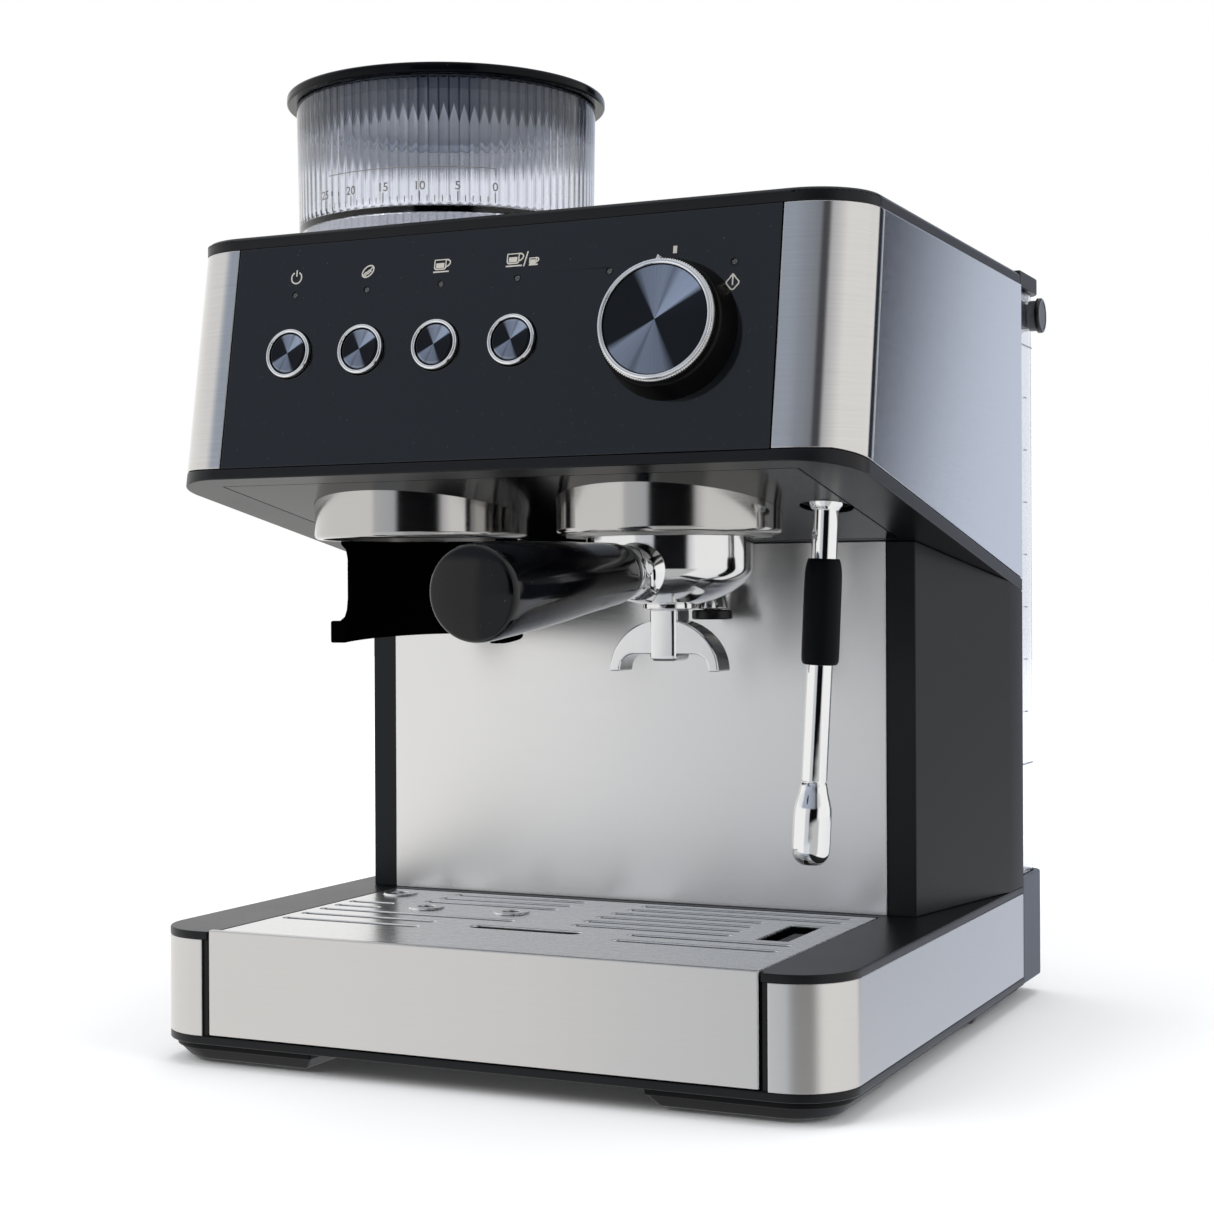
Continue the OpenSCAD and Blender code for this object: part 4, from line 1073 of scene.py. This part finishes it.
class COFFEE_OT_hopper(bpy.types.Operator):
    """Clear bean hopper: one flute is modelled and repeated round the wall"""

    bl_idname = "coffee.hopper"
    bl_label = "Hopper"

    def execute(self, context):
        values = looks()
        low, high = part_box("hopper")
        radius, neck, tall = radius_of("hopper"), (high.z - low.z) / MM, (high.z - TOP_Z) / MM
        wall, inner, floor = radius - 1.3, radius - 2.5, 11.5
        piece = chain("hopper_glass", upright([
            (wall - 0.5, 0.3), (wall, 0.6), (radius - 0.1, tall - 0.9), (radius - 0.4, tall - 0.25),
            (radius - 0.9, tall), (inner + 0.5, tall), (inner, tall - 0.6), (inner, 14.5),
            (inner - 0.4, 12.2), (inner - 1.4, 11.0), (inner - 3, 10.6), (34, 10.5), (31.5, 9.9),
            (21.2, 3.4), (21, 2.6), (21, tall - neck), (33, tall - neck), (33, 8.1), (34.5, 8.3),
            (radius - 4.4, 8.3), (radius - 3.8, 7.6), (radius - 3.8, 0.3),
        ]))
        flutes, columns = values.flute_count, 8
        flute, deep = 360 / flutes, values.flute_depth / MM
        sweep(columns, math.radians(flute))
        for column in range(1, columns):
            at = flute * column / columns
            dip = deep * (1 - math.cos(math.tau * column / columns)) / 2

            def on_wall(spot):
                turn = (angle_of(spot) + 180) % 360 - 180
                return (
                    abs(abs(turn) - at) < flute / columns / 4 and floor < spot.z < tall - 0.1
                    and inner - 0.6 < spot.xy.length < inner + 0.3
                )

            choose(piece, on_wall)
            side = math.radians(at)
            bpy.ops.transform.translate(value=(-dip * math.cos(side), -dip * math.sin(side), 0))
        everything()
        sweep(flutes - 1, math.tau * (flutes - 1) / flutes, copies=True)
        close_up()
        spot = Vector((BURR.x, BURR.y, TOP_Z))
        # The hopper's clear plastic carries painted shade: dark points under the lid and thin dark lines on
        # its flutes.
        clear = fluted_clear("hopper_clear_painted_shade", spot, tall * MM, flutes)
        settle(piece, clear, "hopper", Matrix.Translation(spot), ["hopper"], 40)

        place = Matrix.Translation((BURR.x, BURR.y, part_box("hopper_lid")[1].z - 4.5 * MM))
        lid = turned("hopper_cap", [
            (0, 0), (61.6, 0), (63.6, 0), (71.2, 0), *arc((70.9, 1.1), 1.1, -75, 0, 4), (72, 2.8),
            *arc((70.4, 2.9), 1.6, 0, 90, 6), (69, 4.5), (68, 4.2), (0, 4.1),
        ], 160)
        gloss = gloss_panel("lid_gloss", (0.0015, 0.0018, 0.0028), 0.12, shine=0.1)
        settle(lid, gloss, "hopper_lid", place, ["hopper_lid"], 40)
        plug = turned("lid_plug", [
            (0, -0.05), (63.4, -0.05), (63.5, -4.6), (63.2, -5), (62, -5), (61.5, -4.6), (61.2, -2.2),
            (60.4, -1.6), (0, -1.5),
        ], 128)
        under = moulded_plastic("lid_underside", (0.75, 0.8, 0.9), 0.45, shine=0.3)
        settle(plug, under, "hopper_lid", place, angle=40)
        return {"FINISHED"}


def round_hopper(angle, height):
    """A frame on the hopper's wall: x round it, y up, z outwards. The angle is from the front."""
    turn, draft, lift = math.radians(angle), 0.0013, 0.00003
    out = Vector((math.sin(turn), -math.cos(turn), 0.02))
    right = Vector((math.cos(turn), math.sin(turn), 0))
    up = out.normalized().cross(right)
    low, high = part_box("hopper")
    radius = (high.x - low.x) / 2 - draft + draft * (height / (high.z - TOP_Z))
    spot = Vector((BURR.x, BURR.y, TOP_Z + height)) + Vector((out.x, out.y, 0)) * (radius + lift)
    return Matrix.Translation(spot) @ facing(right, up, out.normalized())


class COFFEE_OT_hopper_scale(bpy.types.Operator):
    """Grind scale printed round the hopper: figures, ticks and the line over them"""

    bl_idname = "coffee.hopper_scale"
    bl_label = "Hopper Scale"

    def execute(self, context):
        ink = print_ink("hopper_print", (0.2, 0.19, 0.18))
        zero_at, step_turn, wall_r, thin = 47.1, 2.8, 67.5, 0.4
        tick_up, figure_up, line_up = 0.0122, 0.0172, 0.0268
        pieces = []
        for mark in range(26):
            turn = zero_at - step_turn * mark
            tall, width = (2.6, thin) if mark % 5 else (4.4, 0.55)
            pieces.append((line_art("tick", [[(0, 0), (0, tall)]], width), round_hopper(turn, tick_up)))
            if mark % 5 == 0:
                bpy.ops.object.text_add()
                figure = context.object
                figure.data.body = str(mark)
                figure.data.align_x = "CENTER"
                figure.data.size = 5.2
                figure.data.offset = 0.06
                figure.data.extrude = 0.02
                pick(figure)
                bpy.ops.object.convert(target="MESH")
                pieces.append((context.object, round_hopper(turn, figure_up)))
        for start in range(24):
            turn = zero_at - step_turn * (start + 0.5)
            half = math.radians(step_turn / 2) * wall_r
            pieces.append((line_art("line", [[(-half, 0), (half, 0)]], thin), round_hopper(turn, line_up)))
        pieces.append((line_art("drop", [[(0, 0), (0, -3)]], thin), round_hopper(zero_at, line_up)))
        for piece, place in pieces:
            piece.matrix_world = place @ Matrix.Scale(MM, 4)
            pick(piece)
            bpy.ops.object.transform_apply(location=True, rotation=True, scale=True)
        pick(*[piece for piece, _ in pieces])
        bpy.ops.object.join()
        scale = context.object
        scale.name = scale.data.name = "hopper_scale"
        settle(scale, ink, "hopper", angle=60)
        return {"FINISHED"}


# ---- operators for brewing and steam


class COFFEE_OT_portafilter(bpy.types.Operator):
    """Portafilter: bowl with its spout, ferrules and the long grip"""

    bl_idname = "coffee.portafilter"
    bl_label = "Portafilter"

    def execute(self, context):
        neck_up, neck_turn, grip_from = 0.21, 94, 57
        spout_up, spout_r, spout_wide = 165.8, 22, 24.7
        chrome = polished_metal("bowl_chrome", (0.74, 0.745, 0.75), 0.1)
        group = Matrix.Translation((GROUP.x, GROUP.y, 0))
        bowl = turned("portafilter_bowl", [
            (0, 193.5), (10.2, 193.5), (13.5, 194.2), (20, 195.9), (26.5, 198.9), (32.4, 203), (34.4, 206),
            (35.2, 208.4), (35.2, 230.6), (34.8, 231), (32.3, 231), (32, 230.6), (32, 206), (30, 203.6),
            (0, 203),
        ], 128)
        settle(bowl, chrome, "portafilter", group, ["portafilter"], 30)
        flange = turned("neck_flange", [
            (0, 191.6), (10.6, 191.6), (11.1, 192), (11.1, 194), (10.8, 194.4), (0, 194.4)], 64)
        settle(flange, chrome, "portafilter", group, angle=40)
        post = plate("neck_post", [(-6.3, -8), (6.3, -8), (6.3, 8), (-6.3, 8)], 170, 193, 2.4)
        settle(post, chrome, "portafilter", group, angle=50)
        turns = [math.pi * i / 30 for i in range(31)]
        crescent = [(spout_wide * math.cos(t), spout_up + spout_r * math.sin(t)) for t in turns]
        crescent += [(-20.1, spout_up), *arc((-13.7, 166.6), 6.4, 180, 90), *arc((13.7, 166.6), 6.4, 90, 0)]
        arms = plate("spout_arms", [*crescent, (20.1, spout_up)], -6.9, 6.9, 2.2)
        settle(arms, chrome, "portafilter", group @ tilt(90, "X"), angle=50)
        for side, name in ((1, "lock_ear_right"), (-1, "lock_ear_left")):
            ear = [(side * x, y) for x, y in [(34.6, -8), *arc((0, 0), 40, -11, 11, 6), (34.6, 8)]][::side]
            settle(plate(name, ear, 224.7, 229.7, 0.8), chrome, "portafilter", group, angle=40)

        along = Matrix.Translation((GROUP.x, GROUP.y, neck_up)) @ tilt(neck_turn, "X")
        bright = turned("ferrule_ring", [
            (8.6, 33), (12.4, 33), (10.4, 36), (9.4, 40), (9.3, 44.4), *arc((10.2, 45.8), 0.9, -90, 0, 4),
            (11.1, 49.6), (10.8, 50.2), (10.8, 50.8), (11.1, 51.2), (11.1, 52.2), (8.6, 52.2),
        ], closed=True)
        settle(bright, polished_metal("ferrule_chrome"), "portafilter", along, angle=45)
        dark = turned("ferrule_band", [
            (9, 52.3), (10.9, 52.3), (11.35, 52.8), (11.35, 56.4), (11.0, 56.9), (9, 56.9)], closed=True)
        gloss = gloss_panel("band_gloss", (0.006, 0.006, 0.0065), 0.16, shine=0.4)
        settle(dark, gloss, "portafilter", along, angle=45)
        grip = turned("long_grip", [
            (0, 0), (11.4, 0), (12, 0.4),
            *flowing([
                (12.4, 1.5), (13, 12), (13.9, 30), (15.2, 50), (16.4, 74), (17.25, 98), (17.55, 109),
                (17.4, 114.6),
            ], 5),
            *arc((15.2, 115.4), 2.0, 5, 70, 5), (15.2, 117.5), (12, 118.3), (8, 118.8), (4, 119), (0, 119.1),
        ], 128)
        lacquer = gloss_panel("grip_gloss", (0.0009, 0.001, 0.0014), 0.1, shine=0.3)
        settle(grip, lacquer, "portafilter_grip", along @ raised(grip_from), ["portafilter_grip"], 40)
        return {"FINISHED"}


class COFFEE_OT_steam_wand(bpy.types.Operator):
    """Steam wand: ball, bent tube, bulb and the soft sleeve round it"""

    bl_idname = "coffee.steam_wand"
    bl_label = "Steam Wand"

    def execute(self, context):
        r, long, bend_at, grip_top, lean, bend = 5.35, 151.7, -68.2, -25.8, 2.6, 0.6
        chrome = polished_metal("wand_chrome", (0.82, 0.825, 0.83), 0.035)
        leaning = Matrix.Translation(WAND) @ tilt(lean, "Y")
        ball = turned("wand_ball", [*arc((0, 0), 8, 90, -48, 24)[:-1], (r, -6), (r, bend_at), (0, bend_at)])
        settle(ball, chrome, "steam_wand", leaning, ["steam_wand"], 50)
        low = long + bend_at
        bent = leaning @ raised(bend_at) @ tilt(bend, "Y")
        tube = turned("wand_tube", [
            (0, 12), (1.6, 12), (1.6, 0.5), (2.0, 0.1), (4, 0.2),
            *flowing([
                (4.6, 0.5), (6.2, 1.9), (7.4, 3.9), (7.9, 6.6), (7.95, 14), (7.9, 21.6), (7.4, 25), (6.3, 29),
                (r + 0.2, 32.6),
            ]),
            (r, 33.6), (r - 0.35, 33.9), (r - 0.35, 34.5), (r, 34.8), (r, low), (0, low),
        ])
        settle(tube, chrome, "steam_wand", bent @ raised(-low), angle=50)
        sleeve = turned("wand_sleeve", [
            (r, -0.1),
            *flowing([
                (r + 1.0, 0), (6.9, -1.4), (7.45, -4.5), (7.7, -9), (7.75, -24), (7.75, -39), (7.5, -42.3),
                (6.7, -43.4),
            ]),
            (r + 0.2, -43.6), (r + 0.2, -39), (r, -38.5),
        ], closed=True)
        soft = moulded_plastic("sleeve_rubber", (0.0014, 0.002, 0.003), 0.5, 0.00004, shine=0.08)
        settle(sleeve, soft, "wand_grip", leaning @ raised(grip_top), ["wand_grip"], 45)
        return {"FINISHED"}


class COFFEE_OT_hot_water(bpy.types.Operator):
    """Hot water spout with its black disc"""

    bl_idname = "coffee.hot_water"
    bl_label = "Hot Water Spout"

    def execute(self, context):
        node = "hot_water_outlet"
        low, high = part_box(node)
        place, tall = over(node, low.z), (high.z - low.z) / MM
        pipe = turned("hot_pipe", [
            (2.6, 0.4), (3.8, 0.4), (4, 4.4), (7.6, 4.9), (6.6, 9.2), (5.2, 13), (4.2, 15), (4, 18),
            (4, tall), (2.6, tall),
        ], 64, closed=True)
        settle(pipe, polished_metal("hot_chrome"), node, place, [node], 40)
        disc = turned("hot_disc", [
            (4.05, 0.2), (8.4, 0), (9, 0.5), (9, 3.6), (8.5, 4.2), (6.4, 4.3), (4.05, 4.3)], 64, closed=True)
        black = moulded_plastic("disc_black", (0.003, 0.003, 0.0035), 0.3, shine=0.3)
        settle(disc, black, node, place, angle=40)
        return {"FINISHED"}


# ---- operators for the tray and the tank


class COFFEE_OT_tray_grid(bpy.types.Operator):
    """Pressed grid of the drip tray, its slots and dishes rolled over"""

    bl_idname = "coffee.tray_grid"
    bl_label = "Tray Grid"

    def execute(self, context):
        finished_copy("tray_grid", "grid_plate", satin_steel("grid_steel", (0.8, 0.8, 0.795)), 0.00045)
        return {"FINISHED"}


class COFFEE_OT_water_tank(bpy.types.Operator):
    """Clear tank with its level marks, lid, carry handle and pivot caps"""

    bl_idname = "coffee.water_tank"
    bl_label = "Water Tank"

    def execute(self, context):
        values = looks()
        clear = clear_plastic("tank_clear", (0.9, 0.91, 0.94), 0.06)
        finished_copy("water_tank", "tank_glass", clear, 0.0003)
        lid_black = moulded_plastic("lid_black", [c * 1.6 for c in values.moulding], 0.4, shine=0.35)
        finished_copy("tank_lid", "tank_cap", lid_black, values.edge_round)
        grey = moulded_plastic("handle_grey", (0.09, 0.095, 0.105), 0.4, shine=0.4)
        finished_copy("tank_handle", "tank_bail", grey, 0.0003)

        gloss = gloss_panel("cap_gloss", (0.004, 0.0045, 0.0055), 0.16, shine=0.4)
        cap = turned("cap_pattern", [
            (0, 0.95), (5.4, 0.95), (6.1, 1.3), (6.5, 2.0), (6.9, 2.2), (8.1, 2.2), (8.5, 1.9), (8.62, 1.4),
            (8.62, 0.05), (0, 0.05),
        ], 80)
        low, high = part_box("tank_handle")
        from_back, sunk = 0.0075, 0.002
        for side, name in ((1, "pivot_cap_right"), (-1, "pivot_cap_left")):
            spot = (side * (high.x - sunk), high.y - from_back, (low.z + high.z) / 2)
            place = Matrix.Translation(spot) @ tilt(90 * side, "Y")
            settle(copied(cap, name), gloss, "tank_handle", place, angle=40)
        bpy.data.objects.remove(cap)

        low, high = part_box("water_tank")
        top, bottom, steps, lift = 268, 62, 8, 0.00002
        strokes = [[(-16, top), (14, top)], [(-16, bottom), (14, bottom)]]
        levels = [bottom + (top - bottom) * i / steps for i in range(1, steps)]
        marks = line_art("level_marks", strokes + [[(-3, level), (3, level)] for level in levels], 0.7)
        spot = (high.x + lift, (low.y + high.y) / 2, low.z)
        place = Matrix.Translation(spot) @ facing((0, 1, 0), (0, 0, 1), (1, 0, 0))
        settle(marks, print_ink("level_print", (0.3, 0.31, 0.34)), "water_tank", place, angle=60)
        return {"FINISHED"}


# ---- stage


def lamp(name, spot, target, size, power, colour):
    """A soft lamp that shows in no reflection: the world holds those."""
    data = bpy.data.lights.new(name, "AREA")
    data.shape = "RECTANGLE"
    data.size, data.size_y = size
    data.energy = power
    data.color = colour
    light = added(name, data)
    light.location = spot
    aim = Vector(target) - Vector(spot)
    light.rotation_euler = aim.to_track_quat("-Z", "Y").to_euler()
    light.visible_glossy = False


VIEW_SPOT = (0.40296, -0.847175, 0.19418)
VIEW_TURN = (24.94, -0.09, -0.25)  # yaw, pitch and roll, in degrees
VIEW_LENS = 62.62
WHITE = (1.0, 1.0, 1.0)
COOL = (0.74, 0.8, 0.93)
WARM = (1.05, 1.04, 1.03)
PALE = (0.93, 0.93, 0.94)
BLACK = (0.004, 0.004, 0.005)
DARK = (0.03, 0.035, 0.05)
DUSK = (0.04, 0.045, 0.06)
SHADE = (0.09, 0.09, 0.1)
FLOOR_BLUE = (0.78, 0.8, 0.84)
FLOOR_GREY = (0.58, 0.58, 0.58)
# What metal sees round the machine, from the front (0 degrees) to the user's right: near the horizon,
# above it, and below it. The edges of these panels lean by LEAN_SHARE for each degree of height.
LEVEL_VIEW = [
    (-180, COOL), (-165, COOL), (-156, WARM), (-25, WARM), (-21.5, (0.7, 0.71, 0.73)),
    (1, (0.62, 0.64, 0.67)), (4, BLACK), (46, BLACK), (51, (0.7, 0.7, 0.72)), (60, WARM), (145, WARM),
    (149, DARK), (162.8, DARK), (163.3, COOL), (180, COOL),
]
UPPER_VIEW = [
    (-180, COOL), (-165, COOL), (-155, PALE), (-64, PALE), (-50, (0.4, 0.46, 0.56)),
    (-18, (0.42, 0.47, 0.56)), (14, (0.33, 0.36, 0.42)), (29, (0.28, 0.3, 0.34)), (34, SHADE), (43, SHADE),
    (49, (0.6, 0.61, 0.64)), (60, (0.75, 0.75, 0.77)), (78, WARM), (118, WARM), (144, (0.75, 0.76, 0.8)),
    (152, DUSK), (162.8, DUSK), (163.3, COOL), (180, COOL),
]
FLOOR_VIEW = [
    (-180, WARM), (-25, WARM), (-21.5, FLOOR_BLUE), (10, FLOOR_BLUE), (16, FLOOR_GREY), (58, FLOOR_GREY),
    (66, WARM), (158, (0.95, 0.95, 0.96)), (166, COOL), (180, COOL),
]
LEAN_SHARE = 0.17
LEVEL_HEIGHT = 2.5
# Where one view blends into the next, in degrees above the horizon
FLOOR_EDGE = (-9, -6.5)
UPPER_EDGE = (11, 17)
CEILING_EDGE = (45, 62)
CEILING = (0.85, 0.86, 0.88)
RAYS = ("Camera", "Glossy", "Transmission")
LAMPS = {
    "key_lamp": ((-0.9, -1.3, 1.3), (0, 0, 0.15), (1.2, 1.2), 16, WHITE),
    "right_lamp": ((1.5, -0.3, 0.9), (0, 0, 0.2), (0.8, 1.4), 9, (0.95, 0.97, 1)),
    "top_lamp": ((0, 0.3, 1.6), (0, 0, 0.2), (1.4, 1.0), 10, WHITE),
}


def studio_world():
    """White to the camera, and soft panels with dark gaps to the metal."""
    world = bpy.data.worlds.new("studio")
    bpy.context.scene.world = world
    finish = Finish("studio", world)
    tex = finish.tree.nodes.new("ShaderNodeTexCoord")
    way = Wire(finish, tex.outputs["Generated"])
    height = finish.axis(2, way)
    east, ahead = finish.axis(0, way), finish.axis(1, way) * -1
    azimuth = east.math("ARCTAN2", ahead)
    elevation = height.math("ARCSINE") * math.degrees(1)
    round_share = azimuth / math.tau + 0.5 - (elevation - LEVEL_HEIGHT) * (LEAN_SHARE / 360)

    def view(stops):
        stops = [((degrees + 180) / 360, colour) for degrees, colour in stops]
        return finish.node("ShaderNodeValToRGB", {"stops": stops}, round_share)

    glossy = finish.mix(elevation.step(*FLOOR_EDGE), view(FLOOR_VIEW), view(LEVEL_VIEW))
    glossy = finish.mix(elevation.step(*UPPER_EDGE), glossy, view(UPPER_VIEW))
    glossy = finish.mix(elevation.step(*CEILING_EDGE), glossy, CEILING)
    camera, shine, through = (finish.ray(kind) for kind in RAYS)
    soft = finish.mix(height.step(-0.2, 0.9), (0.5, 0.5, 0.5), (0.62, 0.63, 0.65))
    colour = finish.mix(shine, soft, glossy)
    colour = finish.mix((camera + through).clamp(), colour, WHITE)
    background = finish.node("ShaderNodeBackground", {}, colour, 1.0)
    finish.node("ShaderNodeOutputWorld", {}, background)


def pale_floor():
    """A plain floor that looks white and keeps the machine's shadow."""
    alone()
    bpy.ops.mesh.primitive_plane_add(size=12)
    floor = bpy.context.object
    floor.name = "pale_floor"
    finish = Finish("pale_floor")
    dust = finish.noise(0.3, 2)
    glow_start, glow_full, glow_near, glow_far = 0.35, 1.1, 0.02, 0.8
    away = finish.node("ShaderNodeVectorMath", {"operation": "LENGTH"}, finish.spot(), output=1)
    far = away.step(glow_start, glow_full)
    matt = finish.node("ShaderNodeBsdfDiffuse", {}, finish.mix(dust, (0.8, 0.8, 0.81), (0.84, 0.84, 0.84)))
    seen = finish.node("ShaderNodeBsdfDiffuse", {}, WHITE)
    glow = finish.node("ShaderNodeEmission", {}, WHITE, far * glow_far + glow_near)
    both = finish.node("ShaderNodeAddShader", {}, seen, glow)
    camera, shine, through = (finish.ray(kind) for kind in RAYS)
    straight = (camera + shine + through).clamp()
    finish.node("ShaderNodeOutputMaterial", {}, finish.node("ShaderNodeMixShader", {}, straight, matt, both))
    floor.data.materials.append(finish.owner)
    floor.visible_glossy = False


class COFFEE_OT_stage(bpy.types.Operator):
    """Camera, floor, soft surroundings and lamps of the studio"""

    bl_idname = "coffee.stage"
    bl_label = "Stage"

    def execute(self, context):
        data = bpy.data.cameras.new("view")
        data.sensor_width = 36
        data.lens = VIEW_LENS
        camera = added("view", data)
        yaw, pitch, roll = (math.radians(angle) for angle in VIEW_TURN)
        ahead = Vector((-math.sin(yaw) * math.cos(pitch), math.cos(yaw) * math.cos(pitch), math.sin(pitch)))
        right = Vector((math.cos(yaw), math.sin(yaw), 0))
        up = right.cross(ahead)
        level_right = right * math.cos(roll) + up * math.sin(roll)
        level_up = up * math.cos(roll) - right * math.sin(roll)
        camera.matrix_world = Matrix.Translation(VIEW_SPOT) @ facing(level_right, level_up, -ahead)
        context.scene.camera = camera
        context.scene.view_settings.view_transform = "Standard"
        studio_world()
        pale_floor()
        for name, values in LAMPS.items():
            lamp(name, *values)
        return {"FINISHED"}


class COFFEE_PT_looks(bpy.types.Panel):
    """Lists the machine's operators and values in the sidebar"""

    bl_idname = "COFFEE_PT_looks"
    bl_label = "Espresso Machine"
    bl_space_type = "VIEW_3D"
    bl_region_type = "UI"
    bl_category = "Coffee"

    def draw(self, context):
        values = context.scene.coffee_looks
        sizes = self.layout.column(align=True)
        for name in ("edge_round", "sheet_round", "flute_depth", "flute_count", "knurl_count"):
            sizes.prop(values, name)
        colours = self.layout.column()
        for name in ("steel", "side_steel", "moulding", "lacquer", "print_ink"):
            colours.prop(values, name)
        buttons = self.layout.column(align=True)
        for operator in OPERATORS:
            buttons.operator(operator.bl_idname)


OPERATORS = (
    COFFEE_OT_inner_works,
    COFFEE_OT_steel_sheets,
    COFFEE_OT_mouldings,
    COFFEE_OT_base_floor,
    COFFEE_OT_collars,
    COFFEE_OT_cradle,
    COFFEE_OT_buttons,
    COFFEE_OT_selector,
    COFFEE_OT_panel_marks,
    COFFEE_OT_hopper,
    COFFEE_OT_hopper_scale,
    COFFEE_OT_portafilter,
    COFFEE_OT_steam_wand,
    COFFEE_OT_hot_water,
    COFFEE_OT_tray_grid,
    COFFEE_OT_water_tank,
    COFFEE_OT_stage,
)


def register():
    bpy.utils.register_class(CoffeeLooks)
    bpy.types.Scene.coffee_looks = bpy.props.PointerProperty(type=CoffeeLooks)
    for operator in OPERATORS:
        bpy.utils.register_class(operator)
    bpy.utils.register_class(COFFEE_PT_looks)


def unregister():
    bpy.utils.unregister_class(COFFEE_PT_looks)
    for operator in reversed(OPERATORS):
        bpy.utils.unregister_class(operator)
    del bpy.types.Scene.coffee_looks
    bpy.utils.unregister_class(CoffeeLooks)


def main():
    register()
    bpy.ops.coffee.inner_works()
    bpy.ops.coffee.steel_sheets()
    bpy.ops.coffee.mouldings()
    bpy.ops.coffee.base_floor()
    bpy.ops.coffee.collars()
    bpy.ops.coffee.cradle()
    bpy.ops.coffee.buttons()
    bpy.ops.coffee.selector()
    bpy.ops.coffee.panel_marks()
    bpy.ops.coffee.hopper()
    bpy.ops.coffee.hopper_scale()
    bpy.ops.coffee.portafilter()
    bpy.ops.coffee.steam_wand()
    bpy.ops.coffee.hot_water()
    bpy.ops.coffee.tray_grid()
    bpy.ops.coffee.water_tank()
    bpy.ops.coffee.stage()


if __name__ == "__main__":
    main()
